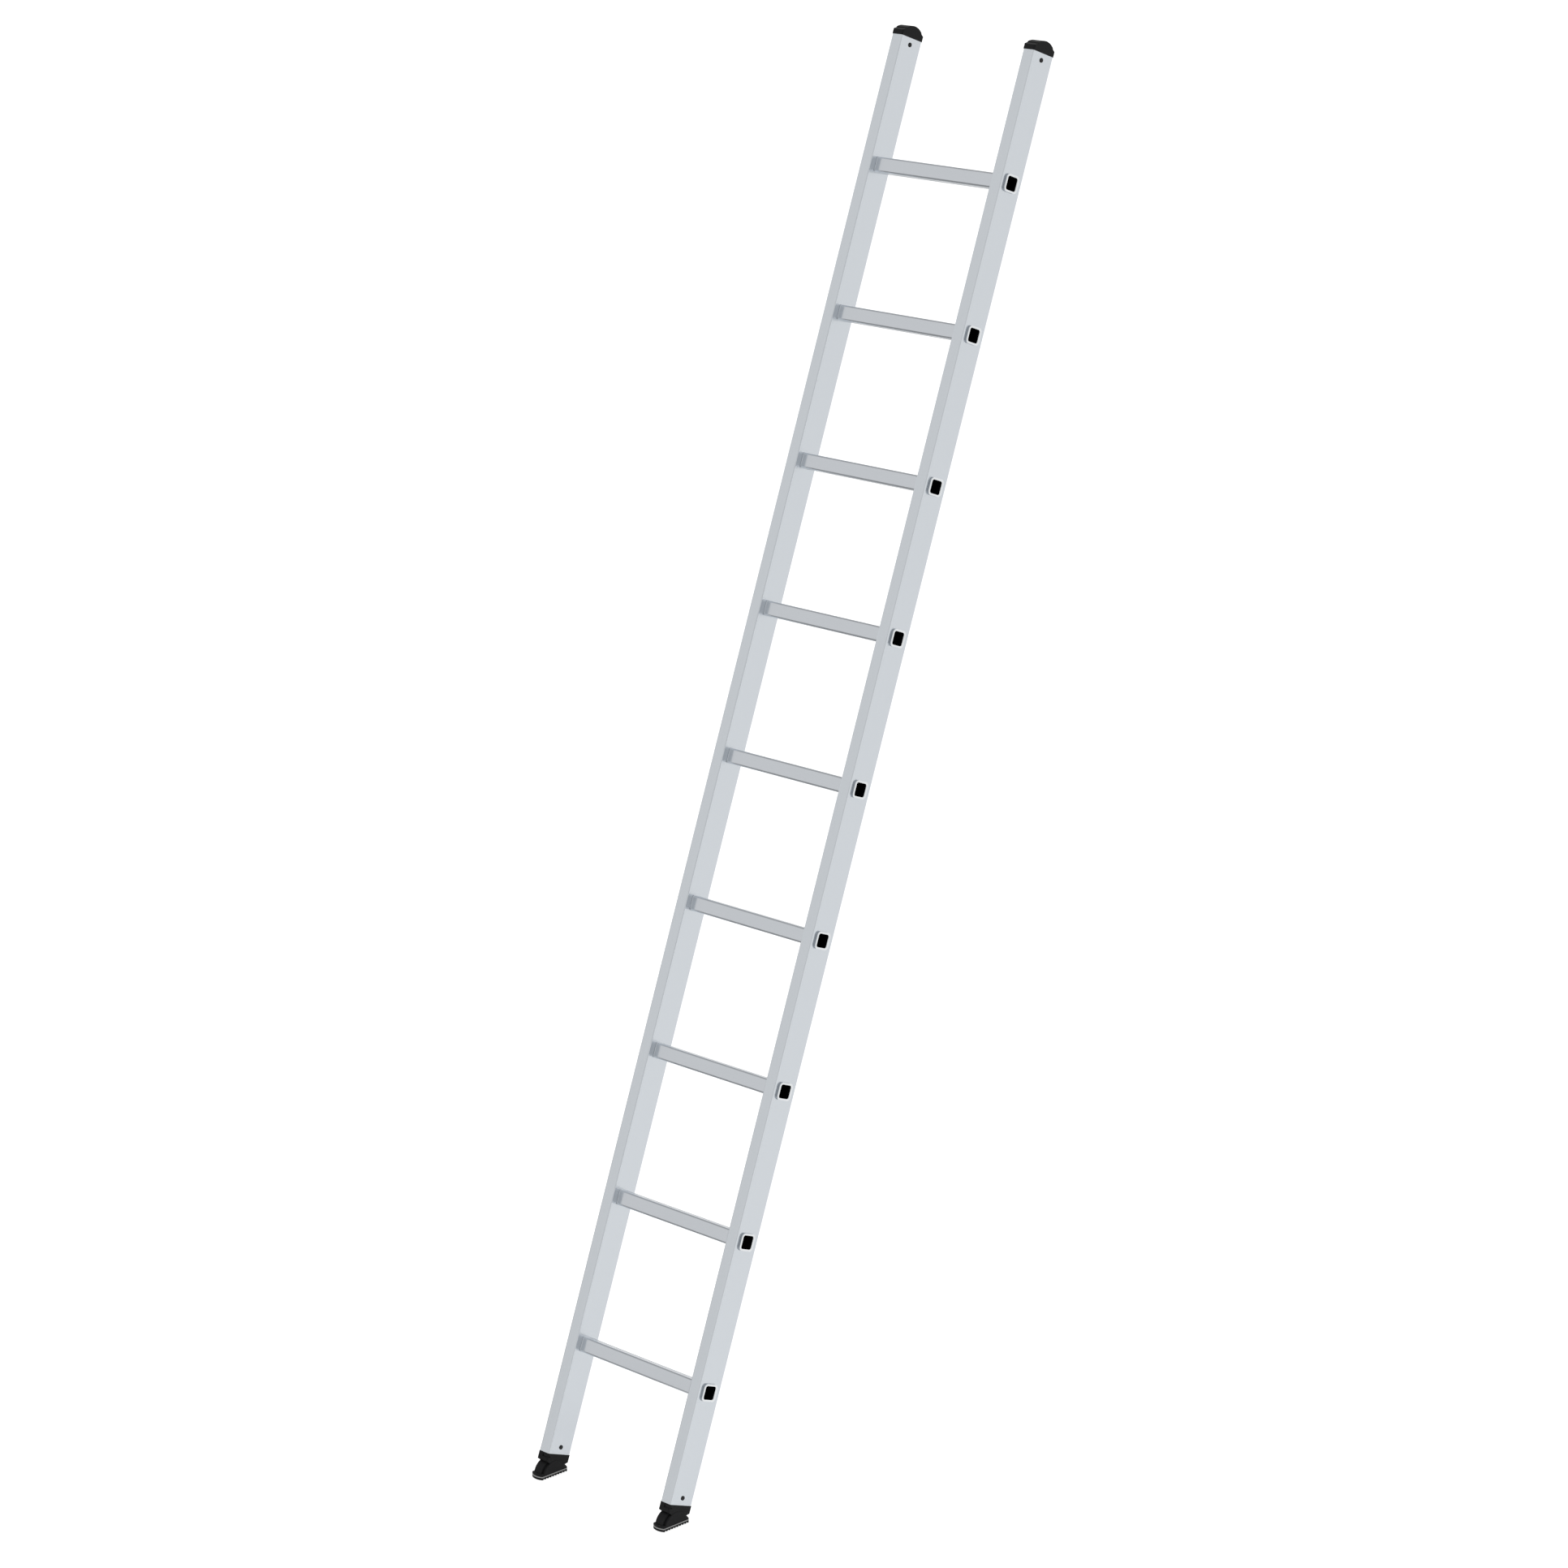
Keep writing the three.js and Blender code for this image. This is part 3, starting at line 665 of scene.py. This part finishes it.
BEAD_PROUD, BEAD_HALF = 0.5, 0.7  # swaged ring near the stile's inner face
NECK = (0.08, 0.25)  # depth and length of the groove between the ring and the stile
NECK_SLOPE = 0.05
RIM = (35.2, 32.4, 7.5)  # flared rim's depth, height and corner radius
MOUTH = (25.6, 24.5, 4.0)  # opening of the rim
RIM_GAP = 0.12  # between the flare and the stile's outer face
RIM_ROUND, LIP_ROUND = 0.7, 1.7  # outer edge and inner lip of the rim
MOUTH_SUNK = 3.2
MOUTH_TAPER = 2.0  # length over which the mouth narrows to the bore
BORE = (21.8, 24.0, 2.4)  # depth, height and corner radius


class LADDER_OT_rungs(bpy.types.Operator):
    """Grooved tube rungs, swaged against the stiles inside and flared open outside them"""

    bl_idname = "ladder.rungs"
    bl_label = "Rungs"

    def execute(self, context):
        sizes = context.scene.ladder_sizes
        inner_face = own_box("stile_right", LEANING)[0].x
        outer_face = own_box("stile_right", LEANING)[1].x
        for name in RUNG_NAMES:
            end = own_box(name, LEANING)[1].x
            half = self.half_rung(inner_face, outer_face, end, sizes)
            rings = [rung_ring(*station, sizes) for station, _ in half]
            finishes = [finish for _, finish in half]
            mirrored = [[(-x, y, z) for x, y, z in ring] for ring in reversed(rings)]
            indices = finishes + list(reversed(finishes[:-1])) + [0]
            rung = solid(loft(rings + mirrored, closed=True, material=lambda r: indices[r]))
            finish_piece(rung, f"ladder_{name}", LEANING, (0, *rung_centre(name)),
                         [finish_of(key) for key in ("rung", "bore", "rim", "rim_wall_painted_shade")], "ladder",
                         [name])
        return {"FINISHED"}

    def half_rung(self, inner_face, outer_face, end, sizes):
        """Sections from the rung's middle out to the rim and back in through the bore, with the
        index of the finish of the faces that follow each."""
        corner, groove = sizes.rung_corner / MM, sizes.groove_depth / MM
        depth, height = TUBE
        bead = inner_face - BEAD_HALF - NECK[1]
        stations = []
        for k in range(RIM_STEPS + 1):
            angle = math.pi * k / RIM_STEPS
            grow = BEAD_PROUD * math.sin(angle)
            x = bead - BEAD_HALF * math.cos(angle)
            fade = groove * max(0.0, 1 - 2 * k / RIM_STEPS)
            stations.append(((x, depth + 2 * grow, height + 2 * grow, corner + grow, fade), 0))
        for x in (inner_face - NECK[1] + NECK_SLOPE, outer_face + RIM_GAP):
            stations.append(((x, depth - 2 * NECK[0], height - 2 * NECK[0], corner - NECK[0], 0), 0))

        def rim(x, share):
            return (x, *[a + (b - a) * share for a, b in zip(RIM, MOUTH)], 0)

        width = (RIM[0] - MOUTH[0]) / 2
        # The rim's outer wall takes the darker finish, whose colour is painted shade beside the stile.
        stations.append((rim(outer_face + RIM_GAP, 0.0), 3))
        for k in range(RIM_STEPS + 1):
            angle = math.pi / 2 * k / RIM_STEPS
            share = RIM_ROUND * (1 - math.cos(angle)) / width
            stations.append((rim(end - RIM_ROUND * (1 - math.sin(angle)), share), 2))
        for k in range(RIM_STEPS + 1):
            angle = math.pi / 2 * k / RIM_STEPS
            share = 1 - LIP_ROUND * (1 - math.sin(angle)) / width
            stations.append((rim(end - LIP_ROUND * (1 - math.cos(angle)), share), 2))
        # From the inner lip into the bore the faces take the near-black bore colour, painted shade.
        stations[-1] = (stations[-1][0], 1)
        stations.append((rim(end - MOUTH_SUNK, 1.0), 1))
        stations.append(((end - MOUTH_SUNK - MOUTH_TAPER, *BORE, 0), 1))
        return stations


# ------------------------------------------------------------------------------------------------
# Caps, holders and rivets.

CUT_REACH = 200  # past any piece, for tools that cut right through
MOULD_STEPS, MOULD_ANGLE = 3, 25  # how a moulded piece's edges are rounded, and from what angle up


def rounded_extrusion(outline, half_width, half_depth, corner, edge, cuts=()):
    """A side view drawn in Y and Z, as wide as a stile, with round upright corners and soft edges."""
    piece = solid(loft(along_x([[(u, v, w) for u, v in outline] for w in (-half_width, half_width)])))
    plan = round_rect(2 * half_width, 2 * half_depth, corner)
    prism = solid(loft([[(x, y, z) for x, y in plan] for z in (-CUT_REACH, CUT_REACH)]))
    combine(piece, prism, "INTERSECT")
    for cut in cuts:
        combine(piece, cut, "DIFFERENCE")
    return soften(piece, edge, MOULD_STEPS, MOULD_ANGLE)


SPIGOT_CORNER, SPIGOT_STEPS = 1.0, 3


def spigot(half_width, half_depth, low, high, wall):
    """A box tube that fills a stile's end."""
    outer = round_rect(2 * half_width, 2 * half_depth, SPIGOT_CORNER, SPIGOT_STEPS)
    inner = round_rect(2 * (half_width - wall), 2 * (half_depth - wall), SPIGOT_CORNER, SPIGOT_STEPS)
    rings = [[(x, y, z) for x, y in outline] for outline, z in
             ((outer, low), (outer, high), (inner, high), (inner, low))]
    return solid(loft(rings, closed=True))


SPIGOT_HALF = (10.6, 26.1)
SPIGOT_WALL = 2.4
SPIGOT_OVERLAP = 1  # how far a spigot starts inside its head or collar
SEAM = 0.1  # left between a stile's end and its cap or holder
CAP_CORNER = 3.2  # radius of the cap's upright corners
CAP_STEPS = 20
CAP_BAND, CAP_SHOULDER, CAP_STEP = 9.0, 13.8, 15.3  # heights above the cap's base
CAP_DOME = 20.5  # half depth of the dome
BAND_ROUND, SHOULDER_ROUND = 1.6, 1.2


class LADDER_OT_top_caps(bpy.types.Operator):
    """Moulded caps with a banded rim, a sloping shoulder and a shallow dome"""

    bl_idname = "ladder.top_caps"
    bl_label = "Top caps"

    def execute(self, context):
        edge = context.scene.ladder_sizes.mould_edge / MM
        for side in SIDES:
            low, high = own_box(f"top_cap_{side}", LEANING)
            base = own_box(f"stile_{side}", LEANING)[1].z + SEAM
            rise, half = high.z - base, high.y
            width = (high.x - low.x) / 2
            head = rounded_extrusion(self.outline(half, rise), width, half, CAP_CORNER, edge)
            head.data.transform(Matrix.Translation((0, 0, base)))
            combine(head, spigot(*SPIGOT_HALF, low.z, base + SPIGOT_OVERLAP, SPIGOT_WALL), "UNION")
            finish_piece(head, f"ladder_top_cap_{side}", LEANING, ((low.x + high.x) / 2, 0, 0),
                         [finish_of("nylon")], "ladder", [f"top_cap_{side}"])
        return {"FINISHED"}

    def outline(self, half, rise):
        """Side view of the head, from the base's rear corner up over the dome to the front corner."""
        sagitta = rise - CAP_STEP
        radius = (CAP_DOME**2 + sagitta**2) / (2 * sagitta)
        sweep = math.degrees(math.asin(CAP_DOME / radius))
        crown = arc((0, rise - radius), radius, 90 - sweep, 90 + sweep, CAP_STEPS)
        corners = [(0, 0), (half, 0), (half, CAP_BAND), (CAP_DOME, CAP_SHOULDER), crown[0], crown[1]]
        rear = filleted(corners, [0, 0, BAND_ROUND, SHOULDER_ROUND, SHOULDER_ROUND, 0])[1:-1]
        front = [(-y, z) for y, z in reversed(rear)]
        return rear + crown[1:-1] + front


COLLAR_CORNER, COLLAR_EDGE = 3.3, 0.35
SEAT_RADIUS, SEAT_END, SEAT_STEPS = 27.12, 18.8, 24  # round seat, and how far forwards and back it goes
MIDDLE_SEAT_RADIUS, MIDDLE_SEAT_HALF = 31.3, 9.3  # deeper groove for the shoe's raised middle
FRONT_LIP = 23.4  # height of the front lip's tip over the tilt axis
REAR_HEEL = ((22, 21.6), 25.0)  # a corner (y, z) of the rear lip, and the height of its outer edge
SEAT_ROUND, HOLDER_ROUND = 0.4, 0.6
LATCH_DEEP = 1.4
# Recesses of a holder's latch: from and to, across a face, then down from the collar's top. The
# front face has a slot that runs out at the corner, and its upright arm; the side face has a dot.
LATCH_FRONT = ((-0.8, 14.0, 5.7, 7.9), (-0.8, 1.6, 3.0, 7.9))
LATCH_SIDE = (3.3, 5.5, 5.0, 7.9)


class LADDER_OT_foot_holders(bpy.types.Operator):
    """Moulded holders in the stiles' lower ends, each with a round seat for its shoe"""

    bl_idname = "ladder.foot_holders"
    bl_label = "Foot holders"

    def execute(self, context):
        for side in SIDES:
            low, high = own_box(f"foot_holder_{side}", LEANING)
            top = own_box(f"stile_{side}", LEANING)[0].z - SEAM
            half, width = high.y, (high.x - low.x) / 2
            tip = math.degrees(math.acos(SEAT_END / SEAT_RADIUS))
            arch = arc((0, 0), SEAT_RADIUS, 180 - tip, tip, SEAT_STEPS)
            heel, heel_edge = REAR_HEEL
            outline = filleted(
                [(-half, top), (-half, FRONT_LIP), *arch, heel, (half, heel_edge), (half, top)],
                [0, HOLDER_ROUND, SEAT_ROUND, *[0] * (len(arch) - 2), SEAT_ROUND, HOLDER_ROUND,
                 HOLDER_ROUND, 0],
            )
            cuts = [bar(MIDDLE_SEAT_RADIUS, -MIDDLE_SEAT_HALF, MIDDLE_SEAT_HALF)]
            for way in (-1, 1):
                for near, far, over, under in LATCH_FRONT:
                    inner, outer = (near, half - LATCH_DEEP), (far, half + 1)
                    cuts.append(self.recess(inner, outer, top - under, top - over, way))
                near, far, over, under = LATCH_SIDE
                inner, outer = (width - LATCH_DEEP, half - far), (width + 1, half - near)
                cuts.append(self.recess(inner, outer, top - under, top - over, way))
            collar = rounded_extrusion(outline, width, half, COLLAR_CORNER, COLLAR_EDGE, cuts)
            combine(collar, spigot(*SPIGOT_HALF, top - SPIGOT_OVERLAP, high.z, SPIGOT_WALL), "UNION")
            finish_piece(collar, f"ladder_foot_holder_{side}", LEANING, ((low.x + high.x) / 2, 0, 0),
                         [finish_of("nylon")], "ladder", [f"foot_holder_{side}"])
        return {"FINISHED"}

    def recess(self, near, far, low, high, way):
        """A cut in the front right corner's faces, or half a turn round from it. Y counts forwards."""
        corners = [(way * x, -way * y) for x, y in (near, far)]
        (x0, x1), (y0, y1) = (sorted(values) for values in zip(*corners))
        return block((x0, y0, low), (x1, y1, high))


RIVET_DEEP, RIVET_SHANK = 9, 2.4  # length in the stile, and radius
RIVET_BRIM = ((4.0, 0.3), 0.3)  # centre (radius, height) and radius of the head's round brim
RIVET_DOME = (7.1, 8.4)  # how far below the face the dome's centre lies, and its radius
RIVET_DIMPLE = ((1.25, 1.2), (1.2, 0.45), (1.0, 0.4))
MANDREL_RADIUS, MANDREL_LOW, MANDREL_TOP = 1.05, 0.3, 0.62


class LADDER_OT_rivets(bpy.types.Operator):
    """Black blind rivets through the stiles' sides into the caps and holders"""

    bl_idname = "ladder.rivets"
    bl_label = "Rivets"

    def execute(self, context):
        for name in sorted(frame["nodes"]):
            if not name.startswith("rivet_"):
                continue
            low, high = own_box(name, LEANING)
            outwards = 1 if ("right" in name) == ("outer" in name) else -1
            face = low.x + RIVET_DEEP if outwards > 0 else high.x - RIVET_DEEP
            below, radius = RIVET_DOME
            profile = [
                (0, -RIVET_DEEP), (RIVET_SHANK, -RIVET_DEEP), (RIVET_SHANK, 0),
                *arc(*RIVET_BRIM, -90, 55, 5), *arc((0, -below), radius, 62, 79, 8), *RIVET_DIMPLE,
            ]
            rivet = solid(lathe([*profile, (0, MANDREL_TOP)]))
            for polygon in rivet.data.polygons:
                spot = polygon.center
                polygon.material_index = int(spot.z > MANDREL_LOW and spot.xy.length < MANDREL_RADIUS)
            rivet.data.transform(Matrix.Rotation(outwards * math.pi / 2, 4, "Y"))
            place = (face, (low.y + high.y) / 2, (low.z + high.z) / 2)
            finish_piece(rivet, f"ladder_{name}", LEANING, place,
                         [finish_of("rivet"), finish_of("mandrel")], "ladder", [name])
        return {"FINISHED"}


# ------------------------------------------------------------------------------------------------
# Shoes.

SOLE_BULGE, SOLE_STEPS = 4.0, 12


def sole_outline(half_width, half_length, bulge, from_y=None):
    """Plan of a sole, with the two ends bulging outwards; from_y keeps only the part in front of it."""
    radius = (half_width**2 + bulge**2) / (2 * bulge)
    sweep = math.degrees(math.asin(half_width / radius))
    front = arc((0, -half_length - bulge + radius), radius, 270 - sweep, 270 + sweep, SOLE_STEPS)
    if from_y is not None:
        return [*front, (half_width, from_y), (-half_width, from_y)]
    rear = arc((0, half_length + bulge - radius), radius, 90 - sweep, 90 + sweep, SOLE_STEPS)
    return [*front, *rear]


def dished(outline, low, high, edge):
    """A flat piece of that plan with small round edges."""
    return solid(loft(slab(outline, low, high, edge)))


def sole_size(side):
    """Half width and half length, without the bulges, of a shoe's plan."""
    low, high = own_box(f"sole_plate_{side}", LEVEL)
    return (high.x - low.x) / 2, (high.y - low.y) / 2 - SOLE_BULGE


SOLE_FLANGE = 3.0  # thickness of the flange all round
TOE_FLANGE, TOE_ROUND = 4.8, 2.2  # thickness in front of the axis, and radius of its edge
BACK_RADIUS, BACK_EDGE = 27.0, 1.0
MIDDLE_HALF, MIDDLE_EDGE = 9.0, 0.5  # raised middle of the round back
BACK_OVERLAP = 0.5  # how far the round back starts above the flange's underside
HOLLOW_RADIUS, HOLLOW_HALF = 27.5, 6.5
SHOE_EDGE = 0.25
BACK_STEPS = 64


class LADDER_OT_shoe_bodies(bpy.types.Operator):
    """Moulded shoe bodies: a flange on the sole, and a round back with a raised middle"""

    bl_idname = "ladder.shoe_bodies"
    bl_label = "Shoe bodies"

    def execute(self, context):
        edge = context.scene.ladder_sizes.mould_edge / MM
        for side in SIDES:
            low, high = own_box(f"shoe_body_{side}", LEVEL)
            half_width, half_length = sole_size(side)
            base = low.z
            flange = sole_outline(half_width, half_length, SOLE_BULGE)
            shoe = dished(flange, base, base + SOLE_FLANGE, edge)
            front = sole_outline(half_width, half_length, SOLE_BULGE, 0)
            combine(shoe, dished(front, base, base + TOE_FLANGE, TOE_ROUND), "UNION")
            combine(shoe, self.back(BACK_RADIUS, half_width, base + BACK_OVERLAP, BACK_EDGE), "UNION")
            combine(shoe, self.back(high.z, MIDDLE_HALF, base + BACK_OVERLAP, MIDDLE_EDGE), "UNION")
            combine(shoe, bar(HOLLOW_RADIUS, -HOLLOW_HALF, HOLLOW_HALF), "DIFFERENCE")
            soften(shoe, SHOE_EDGE)
            finish_piece(shoe, f"ladder_shoe_body_{side}", LEVEL, ((low.x + high.x) / 2, 0, 0),
                         [finish_of("nylon")], f"shoe_{side}", [f"shoe_body_{side}"])
        return {"FINISHED"}

    def back(self, radius, half_width, base, edge):
        """A half-round block on the sole, across the shoe."""
        start = math.degrees(math.asin(base / radius))
        outline = arc((0, 0), radius, start, 180 - start, BACK_STEPS)
        return solid(loft(along_x(slab(outline, -half_width, half_width, edge, flat_edge=True))))


PLATE_GROWTH, PLATE_EDGE = 0.1, 0.3  # how far a plate reaches into the gaps above and below it


class LADDER_OT_sole_plates(bpy.types.Operator):
    """Grey plates between the shoe bodies and the treads"""

    bl_idname = "ladder.sole_plates"
    bl_label = "Sole plates"

    def execute(self, context):
        for side in SIDES:
            low, high = own_box(f"sole_plate_{side}", LEVEL)
            outline = sole_outline(*sole_size(side), SOLE_BULGE)
            plate = dished(outline, low.z - PLATE_GROWTH, high.z + PLATE_GROWTH, PLATE_EDGE)
            finish_piece(plate, f"ladder_sole_plate_{side}", LEVEL, ((low.x + high.x) / 2, 0, 0),
                         [finish_of("sole_plate")], f"shoe_{side}", [f"sole_plate_{side}"])
        return {"FINISHED"}


RIBS = 10
RIB_TIP, RIB_ROOT, RIB_DEEP = 2.4, 4.2, 2.4  # lengths along the shoe at a rib's tip and root, and depth
RIB_FILLET, RIB_FLARE = 0.5, 0.8  # radius between two ribs, and how far the cut opens under them
TREAD_EDGE, TREAD_CUT = 0.35, 20


class LADDER_OT_treads(bpy.types.Operator):
    """Rubber treads with tapered ribs across them"""

    bl_idname = "ladder.treads"
    bl_label = "Treads"

    def execute(self, context):
        for side in SIDES:
            low, high = own_box(f"tread_{side}", LEVEL)
            half_width, half_length = sole_size(side)
            tread = dished(sole_outline(half_width, half_length, SOLE_BULGE), low.z, high.z, TREAD_EDGE)
            pitch = (2 * half_length - RIB_TIP) / (RIBS - 1)
            for i in range(RIBS - 1):
                centre = -half_length + RIB_TIP / 2 + (i + 0.5) * pitch
                mouth, floor = (pitch - RIB_TIP) / 2, (pitch - RIB_ROOT) / 2
                wide, under, root = mouth + RIB_FLARE, low.z - 1, low.z + RIB_DEEP
                outline = filleted(
                    [(centre - wide, under), (centre + wide, under), (centre + mouth, low.z),
                     (centre + floor, root), (centre - floor, root), (centre - mouth, low.z)],
                    [0, 0, 0, RIB_FILLET, RIB_FILLET, 0],
                )
                rings = [[(u, v, w) for u, v in outline] for w in (-TREAD_CUT, TREAD_CUT)]
                combine(tread, solid(loft(along_x(rings))), "DIFFERENCE")
            finish_piece(tread, f"ladder_tread_{side}", LEVEL, ((low.x + high.x) / 2, 0, 0),
                         [finish_of("rubber")], f"shoe_{side}", [f"tread_{side}"])
        return {"FINISHED"}


class LADDER_OT_foot_fixings(bpy.types.Operator):
    """Finish of the foot screws and saddle nuts, whose shapes come with the frame"""

    bl_idname = "ladder.foot_fixings"
    bl_label = "Foot fixings"

    def execute(self, context):
        for side in SIDES:
            for name in (f"foot_screw_{side}", f"saddle_nut_{side}"):
                node = frame["nodes"][name]
                node.data.materials.clear()
                node.data.materials.append(finish_of("zinc"))
        return {"FINISHED"}


# ------------------------------------------------------------------------------------------------
# Floor, light and camera.

LENS_MM, SENSOR_MM = 111.2, 36.0
CAMERA_AZIMUTH, CAMERA_ELEVATION, CAMERA_DISTANCE = 45.03, 15.5, 8.832
AIM_OFFSET = Vector((-0.0086, -0.0053, -0.0302))  # from the middle of the ladder's box
# Azimuth and elevation of each grey patch of wall, the angles where it starts and is full, and
# what it leaves of the light.
GREY_WALLS = ((32, 14, 120, 80, 0.75), (48, 13, 26, 3, 0.80), (-108, 47, 52, 15, 0.50))


KEY_BEARING = (-35, 55)
KEY_DISTANCE, KEY_SIZE, KEY_WATTS = 5.0, 3.0, 25.0
FLOOR_HALF, FLOOR_CELLS, CLIP_END = 60, 24, 200  # metres, cells, metres


def bearing(azimuth, elevation):
    """Unit direction from the object to a place; azimuth 0 is in front of it, at -Y, and 90 at +X."""
    a, e = math.radians(azimuth), math.radians(elevation)
    return Vector((math.sin(a) * math.cos(e), -math.cos(a) * math.cos(e), math.sin(e)))


class LADDER_OT_stage(bpy.types.Operator):
    """Pale floor, soft studio light and the camera"""

    bl_idname = "ladder.stage"
    bl_label = "Stage"

    def execute(self, context):
        scene = context.scene
        scene.view_settings.view_transform = "Standard"
        self.floor()
        self.world(scene)
        self.softbox("key_softbox", bearing(*KEY_BEARING), KEY_DISTANCE, KEY_SIZE, KEY_WATTS)
        self.camera(scene)
        return {"FINISHED"}

    def floor(self):
        mesh = bmesh.new()
        bmesh.ops.create_grid(mesh, x_segments=FLOOR_CELLS, y_segments=FLOOR_CELLS, size=FLOOR_HALF)
        floor = solid(mesh, "studio_floor")
        floor.data.materials.append(finish_of("floor"))

    def world(self, scene):
        """White walls, with a greyer one on the climber's side and the dim camera corner in it."""
        world = bpy.data.worlds.new("Studio walls")
        world.use_nodes = True
        tree = world.node_tree
        tree.nodes.clear()
        way = add(tree, "ShaderNodeTexCoord").outputs["Generated"]
        strength = 1.0
        for azimuth, elevation, reach, core, share in GREY_WALLS:
            near = add(tree, "ShaderNodeVectorMath", {"operation": "DOT_PRODUCT"}, i0=way,
                       i1=bearing(azimuth, elevation)).outputs["Value"]
            dim = add(tree, "ShaderNodeMapRange", {"interpolation_type": "SMOOTHSTEP"}, Value=near,
                      From_Min=math.cos(math.radians(reach)), From_Max=math.cos(math.radians(core)),
                      To_Min=1.0, To_Max=share).outputs["Result"]
            dimmed = add(tree, "ShaderNodeMath", {"operation": "MULTIPLY"}, i0=strength, i1=dim)
            strength = dimmed.outputs[0]
        seen = add(tree, "ShaderNodeLightPath").outputs["Is Camera Ray"]
        strength = add(tree, "ShaderNodeMath", {"operation": "MAXIMUM"}, i0=strength, i1=seen)
        back = add(tree, "ShaderNodeBackground", Color=(1, 1, 1, 1), Strength=strength.outputs[0])
        add(tree, "ShaderNodeOutputWorld", Surface=back.outputs["Background"])
        scene.world = world

    def softbox(self, name, way, distance, size, power):
        light = bpy.data.lights.new(name, "AREA")
        light.shape = "DISK"
        light.size = size
        light.energy = power
        box = bpy.data.objects.new(name, light)
        box.location = ladder_middle() + way * distance
        box.rotation_euler = way.to_track_quat("Z", "Y").to_euler()
        box.visible_glossy = False
        bpy.context.scene.collection.objects.link(box)

    def camera(self, scene):
        camera = bpy.data.objects.new("camera", bpy.data.cameras.new("camera"))
        camera.data.lens = LENS_MM
        camera.data.sensor_width = SENSOR_MM
        way = bearing(CAMERA_AZIMUTH, CAMERA_ELEVATION)
        camera.location = ladder_middle() + AIM_OFFSET + way * CAMERA_DISTANCE
        camera.rotation_euler = way.to_track_quat("Z", "Y").to_euler()
        camera.data.clip_end = CLIP_END
        scene.collection.objects.link(camera)
        scene.camera = camera


def ladder_middle():
    """Middle of the whole ladder's box."""
    low, high = (Vector(corner) for corner in CAD_BOX)
    return (low + high) / 2


# ------------------------------------------------------------------------------------------------
# The add-on.

PIECE_OPERATORS = (
    LADDER_OT_stiles,
    LADDER_OT_rungs,
    LADDER_OT_top_caps,
    LADDER_OT_foot_holders,
    LADDER_OT_rivets,
    LADDER_OT_shoe_bodies,
    LADDER_OT_sole_plates,
    LADDER_OT_treads,
    LADDER_OT_foot_fixings,
    LADDER_OT_stage,
)


class LADDER_PT_pieces(bpy.types.Panel):
    """Lists the ladder's sizes, colours and pieces"""

    bl_idname = "LADDER_PT_pieces"
    bl_label = "Leaning ladder"
    bl_space_type = "VIEW_3D"
    bl_region_type = "UI"
    bl_category = "Ladder"

    def draw(self, context):
        for group in (context.scene.ladder_sizes, context.scene.ladder_colours):
            column = self.layout.column()
            for name in group.__annotations__:
                column.prop(group, name)
        for operator in PIECE_OPERATORS:
            self.layout.operator(operator.bl_idname)


CLASSES = (LadderSizes, LadderColours, *PIECE_OPERATORS, LADDER_PT_pieces)


def register():
    for each in CLASSES:
        bpy.utils.register_class(each)
    bpy.types.Scene.ladder_sizes = PointerProperty(type=LadderSizes)
    bpy.types.Scene.ladder_colours = PointerProperty(type=LadderColours)


def unregister():
    del bpy.types.Scene.ladder_colours
    del bpy.types.Scene.ladder_sizes
    for each in reversed(CLASSES):
        bpy.utils.unregister_class(each)


def main():
    register()
    for operator in PIECE_OPERATORS:
        group, name = operator.bl_idname.split(".")
        getattr(getattr(bpy.ops, group), name)()


if __name__ == "__main__":
    main()
